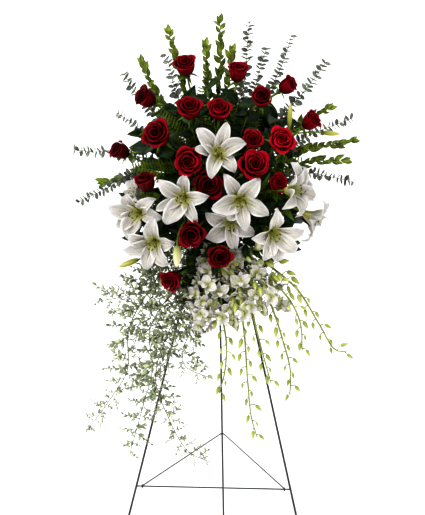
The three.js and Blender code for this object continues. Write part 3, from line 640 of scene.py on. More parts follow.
def rose_petal_shape(row, index, opened):
    count, reach, height, wrap, lip = ROSE_ROWS[row]
    closed = 1 - opened
    height += closed * 0.6 * (0.54 - height) + 0.07 * vary(row * 5 + index)
    reach *= (1 - 0.12 * closed) * (1 + 0.08 * vary(row * 11 + index))
    lip *= 1 - 0.35 * closed
    start = 2 * pi * index / count + row * GOLDEN_ANGLE + 0.15 * vary(row + index)
    wave = row * 1.7 + index * 2.3

    def shape(s, v):
        w = v * (1 - 0.24 * s * s)
        body = min(w / LIP_START, 1)
        roll = max(0, w - LIP_START) / (1 - LIP_START) * (2.2 + 0.5 * sin(wave))
        angle = start + s * wrap * (0.4 + 0.6 * sin(body * pi / 2))
        ring = ROSE_FOOT + (reach - ROSE_FOOT) * (1 - (1 - body) ** 3.1)
        ring += lip * (1 - cos(roll)) + 0.08 * s * body + 0.03 * sin(4 * s + wave) * w * w
        ring += ROSE_POINTS[opened] * lip * exp(-(s / 0.22) ** 2) * w ** 6
        z = (height + ROSE_DEPTH) * body ** 1.2 - ROSE_DEPTH + lip * sin(roll)
        z += 0.05 * sin(3.4 * s + wave) * w
        return polar(ring, angle, z) + ROSE_CENTRE * (1 - reach)

    return shape


def rose_model(opened):
    petals = []
    for row, (count, *_) in enumerate(ROSE_ROWS):
        for index in range(count):
            petal = blade(9, 13, rose_petal_shape(row, index, opened), 0.02, ROSE_RED)
            # Inner rows darker and outer rows lighter: painted shade in the heart of the rose, with a random
            # shade for each petal.
            lighten(petal, -0.38 + 0.16 * row + 0.2 * vary(row * 7 + index))
            petals.append(petal)
    return model(joined("rose_model", petals))


def rose_frame(number):
    place, size, look, *_ = ROSES[number - 1]
    return bloom_frame(place, size, look, (number - 1) * GOLDEN_ANGLE)


def add_roses():
    shapes = {opened: rose_model(opened) for opened in ROSE_POINTS}
    for number, (*_, opened, lighter) in enumerate(ROSES, 1):
        # Each rose is painted lighter or darker as a whole: painted light and shade.
        head = copy_of(shapes[opened], rose_frame(number), lighter)
        head.name = f"rose_head_{number:02d}"
        on_frame(head, "rose_petal", f"rose_{number:02d}")


# Lilies: place, size, look and how much lighter or darker each whole lily is painted, as painted light and
# shade
LILIES = [
    ((15, -255, 1245), 136, (2, 14), 0.05), ((-75, -262, 1130), 132, (-5, 4), -0.1),
    ((72, -272, 1125), 140, (6, 0), 0.0), ((45, -228, 1060), 130, (4, -8), -0.05),
    ((-200, -225, 1085), 130, (-14, 4), -0.1), ((-155, -250, 1010), 130, (-8, -6), 0.0),
    ((215, -222, 1150), 130, (48, 8), 0.15), ((160, -245, 1035), 132, (14, -8), 0.4),
    ((262, -175, 1065), 118, (75, -28), 0.1), ((-212, -140, 1132), 104, (-60, 32), 0.0),
]
# For each lily: the angle, length and breadth of each tepal, as the viewer sees them, inner ones first
LILY_TEPALS = [
    ((131, 1.12, 1.1), (25, 1, 1.1), (-110, 0.9, 1.05),
     (71, 1.14, 0.95), (-42, 0.92, 1), (170, 0.85, 0.75)),
    ((145, 1.08, 1.1), (-118, 1.1, 1.45), (0, 0.95, 1),
     (81, 0.88, 0.95), (-52, 1.06, 0.95), (-157, 1.1, 0.8)),
    ((-164, 0.98, 1.3), (55, 0.98, 1.15), (-84, 1.03, 0.95),
     (119, 1.1, 1), (-20, 1.1, 1.05), (-125, 0.8, 0.8)),
    ((157, 1.02, 1.05), (-14, 0.92, 1.2), (-85, 0.94, 1),
     (107, 0.8, 1), (-142, 1.1, 1.25), (45, 0.8, 0.95)),
    ((173, 1.1, 1.15), (41, 0.98, 1.05), (-106, 1, 1.35),
     (-138, 0.88, 1.2), (0, 1.1, 1.15), (118, 0.8, 1.05)),
    ((84, 1, 1.3), (-162, 1.14, 1.05), (-57, 0.98, 1.1),
     (5, 0.9, 1), (165, 1, 1), (-106, 1.04, 1.1)),
    ((105, 1, 1.2), (-25, 0.9, 1.1), (-150, 1.05, 1),
     (62, 0.95, 1), (-92, 1.02, 1.25), (22, 0.8, 0.95)),
    ((93, 1, 0.95), (-35, 1, 1.2), (-120, 1, 1),
     (8, 1.12, 1.05), (-81, 1.02, 1.15), (-178, 0.9, 0.85)),
    ((0, 1, 1), (120, 1.05, 1.1), (-120, 1, 1),
     (60, 1, 0.85), (180, 0.95, 0.85), (-60, 1.05, 0.9)),
    ((30, 1, 1.1), (150, 1, 1.1), (-90, 1, 1.05),
     (90, 1, 0.9), (-150, 0.95, 0.9), (-30, 1, 0.9)),
]
# A tepal's midrib as reach and height, and its half width, all in parts of the bloom's radius
TEPAL = [
    (0.03, -0.74, 0.05), (0.13, -0.52, 0.125), (0.26, -0.28, 0.205), (0.4, -0.07, 0.26),
    (0.56, 0.08, 0.27), (0.72, 0.14, 0.23), (0.88, 0.12, 0.15), (1.01, 0.02, 0.068), (1.09, -0.11, 0.0),
]
LILY_BASE = -0.78
OUTER_BACK = 0.05
TEPAL_STEP = 0.02


def along_list(rows, t):
    """A row between those of a list, by the share of the way through it."""
    x = t * (len(rows) - 1)
    k = min(int(x), len(rows) - 2)
    f = x - k
    before, here, there, after = (rows[min(max(i, 0), len(rows) - 1)] for i in (k - 1, k, k + 1, k + 2))
    return [b + 0.5 * f * (c - a + f * (2 * a - 5 * b + 4 * c - d + f * (3 * (b - c) + d - a)))
            for a, b, c, d in zip(before, here, there, after)]


def tepal_shape(angle, length, breadth, back, wave):
    bend = 0.16 * sin(wave * 2.3)
    cup = 0.42 + 0.15 * sin(wave * 3.1)
    turn = Matrix.Rotation(angle, 3, "Z")

    def shape(s, v):
        out, up, half = along_list(TEPAL, v)
        out_next, up_next, _ = along_list(TEPAL, min(v + TEPAL_STEP, 1))
        out_last, up_last, _ = along_list(TEPAL, max(v - TEPAL_STEP, 0))
        run = Vector((out_next - out_last, up_next - up_last)).normalized()
        half = max(half, 0) * (1 + (breadth - 1) * min(3 * v, 1))
        rise = cup * half * s * s + 0.34 * half * sin(11 * v + wave + 2 * s) * abs(s) ** 3
        rise -= 0.03 * exp(-(s / 0.16) ** 2) * (1 - v) + back
        reach = out * (1 + (length - 1) * v) - run.y * rise
        height = up + run.x * rise - 0.5 * abs(length - 1) * v ** 3
        return turn @ Vector((reach, half * s + bend * v ** 3, height))

    return shape


def anther_shape(turn, v):
    ring = 0.024 * sin(pi * v) ** 0.5
    return Vector((ring * cos(turn), ring * sin(turn) * 0.8, 0.13 * (v - 0.5)))


def stigma_shape(turn, v):
    return polar(0.034 * sin(pi * v) ** 0.7 * (1 + 0.25 * cos(3 * turn)), turn, 0.05 * (v - 0.5))


def lily_heart_model(seed):
    """Six bent filaments, each with its anther, round a pistil."""
    pieces = []
    foot = UP * -0.6
    for k in range(6):
        side = polar(1, radians(30 + 60 * k + 34 * vary(seed + k * 3)), 0)
        nod = Vector((0.06 * vary(seed * 7), -0.05, 0.1 + 0.14 * vary(k + seed * 4)))
        tip = side * (0.18 + 0.12 * vary(seed + k)) + nod
        line = bezier(foot, side * 0.02 - UP * 0.3, side * 0.12, tip, 7)
        pieces.append(stem(line, (0.014, 0.009), FILAMENT, 1))
        anther = round_body(8, 6, anther_shape, ANTHER)
        along = side.cross(UP) + side * (0.4 + vary(k + seed)) + UP * vary(k * 2 + seed)
        anther.data.transform(facing(tip, along))
        pieces.append(anther)
    tip = Vector((0.1 * vary(seed), -0.09, 0.28))
    pieces.append(stem(bezier(foot, UP * -0.3, UP * 0.1, tip, 6), (0.024, 0.015), FILAMENT, 1))
    stigma = round_body(9, 6, stigma_shape, FILAMENT)
    stigma.data.transform(Matrix.Translation(tip))
    return model(joined("lily_heart_model", [*pieces, stigma]))


def lily_frame(number):
    place, size, look, _ = LILIES[number - 1]
    return bloom_frame(place, size, look, 0)


def add_lilies():
    hearts = [lily_heart_model(seed) for seed in (1, 2, 3)]
    for number, (*_, lighter) in enumerate(LILIES, 1):
        matrix = lily_frame(number)
        pieces = [copy_of(hearts[number % len(hearts)], matrix)]
        for k, (angle, length, breadth) in enumerate(LILY_TEPALS[number - 1]):
            back = OUTER_BACK if k > 2 else 0
            shape = tepal_shape(radians(angle), length, breadth, back, number * 2.7 + k * 1.9)
            tepal = blade(10, 18, shape, 0.012, LILY_WHITE)
            tepal.data.transform(matrix)
            # The whole lily is painted lighter or darker as painted light and shade, and each tepal gets a
            # random shade of its own.
            lighten(tepal, lighter + 0.15 * vary(number * 7 + k))
            pieces.append(tepal)
        on_frame(joined(f"lily_bloom_{number:02d}", pieces), "lily_petal", f"lily_{number:02d}")


# Leaves, each a unit long along Z with its face to +Y

def leaf_model(material, across, along, thickness, width, fold, droop, widest=0.8, blunt=1.0, wave=0.0,
               twist=0.0):
    def shape(s, v):
        half = 0 if v in (0.0, 1.0) else width / 2 * sin(pi * v ** widest) ** blunt
        x = half * s
        y = fold * half * abs(s) - droop * v * v + wave * sin(9 * v + 2 * s) * half * s * s
        turn = twist * v
        return Vector((x * cos(turn) - y * sin(turn), x * sin(turn) + y * cos(turn), v))

    return model(blade(across, along, shape, thickness, material))


ROUND_LEAF = leaf_model(EUCALYPTUS_LEAF, 4, 5, 0.03, width=0.8, fold=0.15, droop=0.08, blunt=0.6)
POINTED_LEAF = leaf_model(RUSCUS_LEAF, 4, 6, 0.02, width=0.46, fold=0.35, droop=0.1, twist=0.3)
SMALL_LEAF = leaf_model(VINE_LEAF, 2, 3, 0.05, width=0.5, fold=0.4, droop=0.15, widest=0.75)
WIDE_LEAF = leaf_model(BROAD_LEAF, 6, 9, 0.01, width=0.52, fold=0.3, droop=0.18, widest=0.75, wave=0.25)
FILL_LEAF = leaf_model(BROAD_LEAF, 4, 7, 0.015, width=0.46, fold=0.3, droop=0.2, wave=0.2)
LANCE_LEAF = leaf_model(LILY_LEAF, 4, 10, 0.01, width=0.24, fold=0.5, droop=0.35, twist=0.4)
SEPAL_LEAF = leaf_model(SEPAL, 4, 6, 0.03, width=0.3, fold=0.3, droop=0.75, widest=0.6)


def pinna_shape(s, v):
    """One side leaf of a fern, with notched edges."""
    notches = 0.72 + 0.28 * cos(9 * pi * v)
    half = 0 if v in (0.0, 1.0) else 0.17 * sin(pi * v ** 0.6) * notches
    return Vector((half * s, 0.2 * half * abs(s) - 0.12 * v * v, v))


FERN_PINNA = model(blade(2, 18, pinna_shape, 0.02, FERN_LEAF))


def put_leaf(shape, origin, along, face, length, lighter):
    return copy_of(shape, leaf_frame(origin, along, face, length * MM), lighter)


# Flower stems, calyxes, buds and the leaves on lily stems
HUB_RADIUS = 0.011
FLOWER_STEM_STEPS = 14
ROSE_STEM = 0.0026
LILY_STEM = 0.003
BUD_STEM_TIP = 0.0022
# Where a rose's stem meets its calyx, in parts of the bloom's radius, and the size of the calyx
CALYX_FOOT = -1.2
CALYX_SIZE = 0.95
# How far a stem goes into a lily and into a bud, and the length of the leaves on a lily's stem
LILY_SUNK = 4
BUD_SUNK = 5
LILY_LEAF_LENGTH = 62
BUDS = {
    "pale": ((-88, -262, 1012), (-86, -300, 962), 12, PALE_BUD),
    "left": ((-190, -205, 965), (-245, -215, 945), 8, LILY_BUD),
    "upright": ((190, -180, 1300), (193, -195, 1365), 7, LILY_BUD),
    "level": ((272, -112, 1286), (322, -120, 1282), 7, LILY_BUD),
    "round": ((116, -188, 1000), (122, -238, 1010), 14, PALE_BUD),
}
BUNCHES = {
    "top": ((-6, -28, 64), (1, 2, 6, 7), (1,), ()),
    "left": ((-34, 10, 60), (3, 9, 10, 13, 15), (10,), ()),
    "right": ((34, -4, 60), (4, 5, 8, 11, 12), (), ("upright", "level")),
    "middle": ((4, 46, 70), (14, 16, 17), (2, 3, 7), ()),
    "low_left": ((-34, 98, 60), (18, 20), (5, 6), ("pale", "left")),
    "low_right": ((30, 98, 62), (19,), (4, 8, 9), ("round",)),
}


def flower_stem_line(root, base, axis):
    """From the root in the foam to the foot of a bloom or bud, which it reaches along the bloom's axis."""
    bend = base - axis * 0.4 * (base - root).length
    out = root.lerp(bend, 0.55)
    start = root + (out - root).normalized() * HUB_RADIUS / 2
    return Line(bezier(start, out, bend, base, FLOWER_STEM_STEPS))


def bloom_stem(root, bloom, foot, radius):
    """The line and the stem that end at a foot below a bloom, which is in parts of the bloom's radius."""
    line = flower_stem_line(root, bloom @ (UP * foot), (bloom.to_3x3() @ UP).normalized())
    return line, stem(line.points, (radius, radius), FLOWER_STEM)


def cup_shape(turn, v):
    return polar(0.3 * sin(pi * v) ** 0.6 * (0.7 + 0.5 * v), turn, 0.5 * v - 1.42)


def calyx_model():
    """The green cup under a rose, in parts of its radius, with five narrow sepals turned down."""
    pieces = [round_body(12, 8, cup_shape, SEPAL)]
    for k in range(5):
        side = polar(1, 2 * pi * k / 5 + 0.2, 0)
        along = side + UP * (0.35 + 0.3 * vary(k))
        matrix = leaf_frame(side * 0.26 - UP, along, UP - side, 0.75)
        pieces.append(copy_of(SEPAL_LEAF, matrix, 0.3 * vary(k)))
    return model(joined("calyx_model", pieces))


CALYX = calyx_model()


def lily_bud_shape(turn, v):
    return polar(sin(pi * v ** 0.95) ** 0.55 * (1 + 0.1 * cos(3 * turn)) * (1 - 0.15 * v), turn, v)


def bud_on_stem(root, bud):
    start, end, thickness, material = BUDS[bud]
    foot, tip = spot(start), spot(end)
    axis = (tip - foot).normalized()
    line = flower_stem_line(root, foot + axis * BUD_SUNK * MM, axis)
    body = round_body(18, 14, lily_bud_shape, material)
    size = Matrix.Diagonal((thickness * MM, thickness * MM, (tip - foot).length, 1))
    body.data.transform(facing(foot, axis) @ size)
    return [stem(line.points, (ROSE_STEM, BUD_STEM_TIP), FLOWER_STEM), body]


def lily_leaves(line, seed):
    """Narrow leaves in a spiral up a lily's stem."""
    for k, _, place, heading in line.places(0.55, 0.85, 4):
        side = outward(heading, k * GOLDEN_ANGLE + seed)
        yield put_leaf(LANCE_LEAF, place, side + heading * 0.8, TO_VIEWER + UP * 0.8,
                       LILY_LEAF_LENGTH * (1 + 0.2 * vary(seed + k)), 0.4 * vary(seed * 3 + k))


def add_flower_stems():
    for name, (place, roses, lilies, buds) in BUNCHES.items():
        root = in_tray(*place)
        pieces = []
        for number in roses:
            bloom = rose_frame(number)
            _, whole = bloom_stem(root, bloom, CALYX_FOOT, ROSE_STEM)
            pieces.extend([whole, copy_of(CALYX, bloom @ Matrix.Scale(CALYX_SIZE, 4))])
        for number in lilies:
            foot = LILY_BASE + 2 * LILY_SUNK / LILIES[number - 1][1]
            line, whole = bloom_stem(root, lily_frame(number), foot, LILY_STEM)
            pieces.extend([whole, *lily_leaves(line, number)])
        for bud in buds:
            pieces.extend(bud_on_stem(root, bud))
        on_frame(joined(f"stems_and_buds_{name}", pieces), "flower_stem", f"flower_stems_{name}")


# Greens and orchids. Each bunch: its root in the foam, then its stems' routes
SPRAY_STEPS = 36
STUB_LENGTH = 0.03
# A spray's thickness in parts of its radius: at its cut end, where it leaves the foam and at its tip
CUT, FOOT, TIP = 1.6, 1.3, 0.55
# The line inside the foam that the cut ends point to: how far down it starts and ends, and how far out
CORE_TOP, CORE_LOW, CORE_OUT = -20, 130, 50


def stem_line(root, route, count):
    return Line(smooth_line([in_tray(*root), *map(spot, route)], count))


def stub(root, radius, material):
    """The cut end of a spray, pushed into the foam."""
    start = in_tray(*root)
    inside = in_tray(0, min(max(root[1], CORE_TOP), CORE_LOW), CORE_OUT)
    end = start + (inside - start).normalized() * STUB_LENGTH
    return stem([end, start.lerp(end, 0.5), start], (radius, radius), material)


def add_bunches(bunches, slot, radius, material, dress):
    """Sprays with stems of a radius in metres. What a bunch says after its routes goes on to dress."""
    for node, (root, routes, *more) in bunches.items():
        pieces = [stub(root, radius * CUT, material)]
        for index, route in enumerate(routes):
            line = stem_line(root, route, SPRAY_STEPS)
            pieces.append(stem(line.points, (radius * FOOT, radius * TIP), material, 1))
            pieces.extend(dress(line, index, *more))
        on_frame(joined(node + "_fresh", pieces), slot, node)


EUCALYPTUS = {
    "eucalyptus_left": ((-61, 4, 30), [
        [(-120, -70, 1190), (-275, -90, 1230), (-330, -85, 1230), (-380, -70, 1235)],
        [(-110, -55, 1150), (-220, -72, 1172), (-280, -105, 1140), (-310, -115, 1125), (-365, -110, 1100)],
        [(-95, -60, 1240), (-185, -85, 1355), (-220, -75, 1395), (-245, -60, 1435)],
        [(-95, -85, 1210), (-170, -125, 1265), (-210, -130, 1305), (-255, -120, 1335)]]),
    "eucalyptus_top": ((16, -66, 30), [
        [(-25, -20, 1260), (-105, -85, 1385), (-120, -75, 1445), (-135, -60, 1485)],
        [(40, -45, 1280), (75, -75, 1430), (80, -65, 1510), (85, -50, 1570)],
        [(50, -65, 1270), (95, -105, 1380), (115, -100, 1450), (130, -90, 1500)],
        [(65, -45, 1270), (140, -75, 1395), (175, -65, 1470), (195, -50, 1535)]]),
    "eucalyptus_right": ((61, -30, 56), [
        [(95, -60, 1230), (190, -80, 1345), (245, -70, 1410), (285, -60, 1465)],
        [(120, -70, 1200), (250, -92, 1280), (315, -85, 1305), (355, -70, 1320)],
        [(110, -72, 1150), (235, -108, 1180), (300, -105, 1170), (360, -90, 1155)]]),
}


# The share of a stem's length that bears leaves, and the gap from one leaf or pair to the next
LEAFY = 0.65
EUCALYPTUS_GAP = 0.0102
RUSCUS_GAP = 0.008


def dress_eucalyptus(line, index):
    """Round leaves in pairs, each pair turned a right angle from the last."""
    for k, t, place, heading in line.places(0.34, 0.985, round(line.length * LEAFY / EUCALYPTUS_GAP)):
        turn = radians(50 if k % 2 else -10) + 0.4 * vary(index * 31 + k)
        length = 28 - 13 * t + 3 * vary(index * 17 + k)
        for half in (0, pi):
            side = outward(heading, turn + half) + heading * (0.2 + 0.3 * t + 0.2 * vary(k + half))
            face = heading * 0.8 + TO_VIEWER * (0.62 + 0.5 * vary(k * 3 + index + half))
            lighter = 0.45 * vary(index * 5 + k + half) - 0.3 * (1 - t)
            yield put_leaf(ROUND_LEAF, place, side, face, length, lighter)


RUSCUS = {
    "ruscus_left": ((-40, -66, 32), [
        [(-55, -38, 1260), (-85, -50, 1390), (-100, -45, 1455), (-120, -40, 1515), (-135, -30, 1555)],
        [(-80, -48, 1260), (-155, -70, 1380), (-185, -55, 1435), (-205, -40, 1475)],
        [(-80, -25, 1216), (-230, -55, 1165), (-280, -70, 1150), (-315, -70, 1150)]]),
    "ruscus_top": ((-12, -66, 46), [
        [(0, -45, 1280), (5, -65, 1405), (10, -50, 1490), (5, -30, 1585)],
        [(-12, -60, 1290), (-20, -95, 1405), (-25, -90, 1470), (-30, -80, 1520)],
        [(12, -65, 1290), (30, -108, 1395), (36, -105, 1450), (42, -100, 1505)]]),
    "ruscus_right": ((61, 26, 32), [
        [(105, -35, 1200), (200, -62, 1290), (270, -85, 1335), (305, -100, 1355)],
        [(110, -40, 1165), (225, -80, 1235), (300, -65, 1250), (370, -50, 1265)],
        [(110, -45, 1130), (240, -85, 1205), (300, -75, 1210), (350, -60, 1210)]]),
}


# Where a ruscus stem's two end leaves sit, as a share of its length
RUSCUS_END = 0.94


def dress_ruscus(line, index):
    """Pointed leaves that stand out from the stem, near black low down and yellow green at the tip."""
    for k, t, place, heading in line.places(0.28, 0.92, round(line.length * LEAFY / RUSCUS_GAP)):
        turn = k * 2.6 + 1.1 * vary(index * 13 + k)
        side = outward(heading, turn) * (0.66 + 0.34 * vary(k * 5 + index)) + heading
        length = 35 - 9 * t + 6 * vary(index * 7 + k)
        face = outward(heading, turn) * 0.4 + Vector((0.8 * vary(k), -0.8, 0.25 + 0.5 * vary(k + 7)))
        lighter = -0.52 + 1.15 * t * t + 0.3 * vary(index * 3 + k)
        yield put_leaf(POINTED_LEAF, place, side, face, length, lighter)
    place, heading = line.spot(RUSCUS_END), line.heading(RUSCUS_END)
    for turn, length in ((0.3, 30), (2.7, 24)):
        side = outward(heading, turn) * 0.28 + heading
        yield put_leaf(POINTED_LEAF, place, side, Vector((0, -1, 0.3)), length, 0.5)


# Each bunch of orchids also says, for each stem, at what share of its length the florets end and how many
# places there hold one floret
ORCHIDS = {
    "orchid_sprays_right": ((38, 150, 102), [
        [(85, -150, 1000), (140, -185, 952), (215, -225, 895), (275, -225, 800), (315, -215, 735),
         (345, -210, 728)],
        [(80, -165, 985), (130, -215, 940), (200, -245, 865), (225, -235, 805), (230, -225, 735)]],
        [(0.46, 3), (0.46, 3)]),
    "orchid_sprays_middle": ((10, 163, 102), [
        [(70, -180, 960), (125, -232, 905), (155, -235, 840), (180, -225, 760), (200, -215, 680),
         (200, -205, 610)],
        [(50, -190, 950), (95, -240, 870), (110, -235, 800), (130, -225, 720), (150, -215, 645)]],
        [(0.52, 2), (0.5, 2)]),
    "orchid_sprays_front": ((0, 176, 84), [
        [(35, -175, 945), (75, -225, 820), (90, -220, 650), (100, -215, 550), (115, -210, 495)],
        [(12, -180, 925), (25, -230, 825), (35, -225, 745), (30, -215, 670), (15, -205, 610)],
        [(-15, -175, 935), (-22, -220, 890), (-28, -225, 850), (-32, -215, 785)]],
        [(0.42, 2), (0.5, 2), (0.96, 1)]),
}
FLORET_GAP = 0.0115
ORCHID_BUD_GAP = 0.024


def floret_petal(length, width, cup, angle):
    turn = Matrix.Rotation(angle, 3, "Z")

    def shape(s, v):
        half = 0 if v == 1 else width / 2 * sin(pi * (0.06 + 0.94 * v) ** 0.8) ** 0.5
        z = cup * (v * v * 0.5 - 0.35 * v) + 0.45 * half * s * s + 0.03 * sin(8 * v + 3 * s + angle) * v
        return turn @ Vector((0.03 + length * v, half * s, z))

    return blade(4, 6, shape, 0.02, ORCHID_WHITE)


def lip_shape(s, v):
    half = 0.15 * sin(pi * (0.1 + 0.8 * v) ** 0.7) ** 0.8
    return Vector((0.02 - 0.3 * v, half * s, 0.1 + 0.18 * sin(2.6 * v) - 0.3 * half * (1 - s * s)))


def column_shape(turn, v):
    return polar(0.045 * sin(pi * v) ** 0.6, turn, 0.02 + 0.18 * v)


def floret_model(cup):
    """An open orchid floret in parts of its width: three sepals, two broad petals, a lip and its column."""
    pieces = [floret_petal(0.48, 0.25, cup, radians(120 * k + 5 * vary(k))) for k in range(3)]
    for side in (-1, 1):
        petal = floret_petal(0.5, 0.47, cup, radians(62 * side))
        petal.data.transform(Matrix.Translation((0, 0, 0.04)))
        pieces.append(petal)
    pieces.append(blade(4, 6, lip_shape, 0.02, ORCHID_WHITE))
    pieces.append(round_body(8, 5, column_shape, ORCHID_BUD))
    return model(joined("floret_model", pieces))


def orchid_bud_shape(turn, v):
    ring = 0.24 * sin(pi * v ** 0.75) ** 0.7 * (1 - 0.25 * v)
    return polar(ring, turn, v) + Vector((0.16 * v * v, 0, 0))


FLORETS = [floret_model(cup) for cup in (0.3, 0.9, 1.6)]
DROP_BUD = model(round_body(8, 7, orchid_bud_shape, ORCHID_BUD))


def stalk(start, direction, end, radius):
    middle = start + direction.normalized() * (end - start).length * 0.5
    line = bezier(start, middle, middle.lerp(end, 0.5), end, 5)
    return stem(line, (radius, radius * 0.8), ORCHID_STEM, 0)


def orchid_floret(place, heading, k, index):
    side = outward(heading, pi / 2 + (k % 3 - 1) * 1.3 + 0.5 * vary(index * 5 + k))
    size = (47 + 7 * vary(index * 3 + k)) * MM
    centre = place + (side + heading * 0.15) * size * 0.45
    nod = Vector((0.9 * vary(k * 3 + index), 0, -0.35 + 0.7 * vary(k + 2 + index)))
    look = side * 0.9 + TO_VIEWER * 0.35 + nod
    matrix = facing(centre, look, pi / 2 + 1.4 * vary(k * 7 + index), size)
    return [stalk(place, side, centre, 0.0014), copy_of(FLORETS[(k + index) % 3], matrix)]


def orchid_bud(place, heading, t, k, index):
    side = outward(heading, (0.4 if k % 2 else pi - 0.4) + 0.8 * vary(index * 11 + k))
    away = (side + heading * 0.4 + UP * 0.3).normalized()
    foot = place + away * (22 - 13 * t + 5 * vary(k * 3 + index)) * MM
    hang = side * 0.35 + heading * 0.8 + UP * (-0.2 + 0.5 * vary(index + k * 3))
    matrix = facing(foot, hang, vary(k) * 3, (31 - 14 * t + 6 * vary(k + index * 4)) * MM)
    return [stalk(place, side + UP * 0.5, foot, 0.0015), copy_of(DROP_BUD, matrix, 0.4 * vary(k * 3 + index))]


def dress_orchid(line, index, florets):
    end, every = florets[index]
    for k, t, place, heading in line.places(0.12, end, round(line.length * end / FLORET_GAP)):
        if k % every:
            yield from orchid_bud(place, heading, t, k, index)
        else:
            yield from orchid_floret(place, heading, k, index)
    count = round(2 + line.length * (1 - end) / ORCHID_BUD_GAP)
    for k, t, place, heading in line.places(end + 0.03, 0.99, count):
        yield from orchid_bud(place, heading, t, k, index)


VINES = {
    "vines_left": ((-61, 148, 50), [
        [(-110, -160, 960), (-165, -200, 885), (-220, -215, 780), (-225, -210, 670), (-275, -205, 585),
         (-340, -200, 495)],
        [(-120, -150, 950), (-170, -180, 910), (-220, -195, 870), (-300, -195, 850)],
        [(-80, -160, 900), (-120, -190, 860), (-165, -210, 780), (-160, -205, 670), (-185, -200, 575),
         (-225, -195, 430)]]),
    "vines_front": ((-28, 176, 62), [
        [(-60, -175, 880), (-125, -225, 755), (-150, -220, 650), (-120, -215, 550), (-65, -210, 450),
         (-5, -205, 420)],
        [(-50, -180, 880), (-45, -215, 850), (-60, -210, 795), (-35, -205, 740)],
        [(-56, -165, 850), (-60, -195, 775), (-80, -195, 725), (-75, -195, 680), (-5, -190, 645)]]),
}


def shoot_model(seed):
    """A side shoot of a vine, one unit long along Z, with small leaves all round it."""
    bend = Vector((0.1 * vary(seed), -0.1, 0.6))
    tip = Vector((0.2 * vary(seed + 1), 0.05, 1))
    twig = Line(bezier(UP * 0, UP * 0.3, bend, tip, 5))
    pieces = [stem(twig.points, (0.02, 0.012), TWIG, 0)]
    for k, t, place, _ in twig.places(0.2, 1.0, 9):
        heading = twig.heading(min(t, 0.95))
        away = outward(heading, k * GOLDEN_ANGLE + seed) * (0.9 if t < 1 else 0.1) + heading * 0.7
        face = Vector((0.8 * vary(k + seed), -1, 0.8 * vary(k * 2 + seed)))
        matrix = leaf_frame(place, away, face, 0.27 + 0.11 * vary(seed * 5 + k))
        pieces.append(copy_of(SMALL_LEAF, matrix, 0.4 * vary(k * 7 + seed)))
    return model(joined("shoot_model", pieces))


SHOOTS = [shoot_model(seed) for seed in range(1, 5)]
SHOOT_GAP = 0.0085


def dress_vine(line, index):
    """Leafy side shoots, longest and closest together on the upper half of the vine."""
    count = round(line.length / SHOOT_GAP)
    for k in range(count):
        t = 0.08 + 0.91 * (k / count) ** 1.35
        heading = line.heading(t)
        along = outward(heading, k * GOLDEN_ANGLE + index) + heading * 0.55 + UP * 0.35
        size = (0.074 - 0.04 * t) * min(1, 0.2 + 2.6 * t) * (1 + 0.35 * vary(index * 19 + k))
        matrix = facing(line.spot(t), along, k * 1.3, size)
        yield copy_of(SHOOTS[k % len(SHOOTS)], matrix, 0.2 * vary(k * 3 + index))


BROAD_LEAVES = {
    "broad_leaves_left": ((-61, 60, 42), [
        [(-90, -75, 1120), (-150, -90, 1095), (-205, -105, 1075)],
        [(-90, -72, 1065), (-140, -100, 1030), (-185, -115, 985)],
        [(-90, -75, 1170), (-145, -110, 1210), (-180, -110, 1270)]]),
    "broad_leaves_top": ((4, -66, 58), [
        [(-25, -78, 1250), (-62, -88, 1300), (-95, -92, 1345)],
        [(25, -60, 1265), (45, -118, 1310), (60, -125, 1365)],
        [(66, -38, 1244), (125, -62, 1276), (165, -105, 1320)]]),
    "broad_leaves_right": ((61, 60, 42), [
        [(90, -85, 1130), (150, -120, 1120), (200, -125, 1105)],
        [(90, -85, 1070), (140, -130, 1030), (170, -145, 985)]]),
    "broad_leaves_low": ((2, 176, 46), [
        [(20, -110, 950), (40, -140, 910), (45, -150, 860)],
        [(-15, -110, 950), (-30, -140, 910), (-30, -150, 860)]]),
}


def dress_broad(line, index):
    for k, _, place, heading in line.places(0.15, 0.98, 15):
        side = outward(heading, k * 2.4 + 0.5 * vary(index * 23 + k)) * 0.9 + heading * 0.5
        face = Vector((0.5 * vary(k + 3), -1, 0.5 + 0.4 * vary(k)))
        length = 66 + 14 * vary(index + k)
        yield put_leaf(WIDE_LEAF, place, side, face, length, 0.45 * vary(k * 3 + index * 5))


# Fern fronds that fill the ground behind the blooms: where each is rooted, and its route
FERNS = {
    "fern_left": [
        ((-40, -30, 60), (-60, -90, 1235), (-105, -125, 1290), (-150, -140, 1340)),
        ((-45, -10, 60), (-70, -85, 1205), (-130, -125, 1255), (-190, -140, 1285)),
        ((-50, 20, 60), (-80, -90, 1165), (-150, -125, 1185), (-215, -135, 1195)),
        ((-50, 50, 60), (-80, -95, 1115), (-145, -135, 1100), (-205, -145, 1080)),
        ((-45, 90, 60), (-75, -110, 1055), (-125, -155, 1020), (-165, -165, 970))],
    "fern_top": [
        ((-15, -50, 60), (-20, -85, 1260), (-30, -115, 1330), (-35, -120, 1400)),
        ((15, -50, 60), (25, -85, 1260), (30, -120, 1320), (40, -125, 1385)),
        ((35, -40, 60), (55, -85, 1250), (90, -115, 1310), (115, -120, 1370))],
    "fern_right": [
        ((45, -20, 60), (80, -85, 1215), (145, -115, 1260), (205, -120, 1295)),
        ((50, 15, 60), (85, -90, 1170), (155, -125, 1195), (225, -130, 1215)),
        ((50, 50, 60), (85, -95, 1120), (150, -135, 1115), (215, -140, 1105)),
        ((45, 90, 60), (75, -110, 1060), (130, -155, 1035), (185, -165, 1000))],
    "fern_low": [
        ((-25, 150, 70), (-35, -130, 970), (-60, -175, 915), (-65, -185, 840)),
        ((-5, 155, 70), (-8, -135, 960), (-15, -180, 890), (-25, -190, 800)),
        ((20, 150, 70), (25, -135, 960), (45, -180, 900), (60, -190, 830))],
}


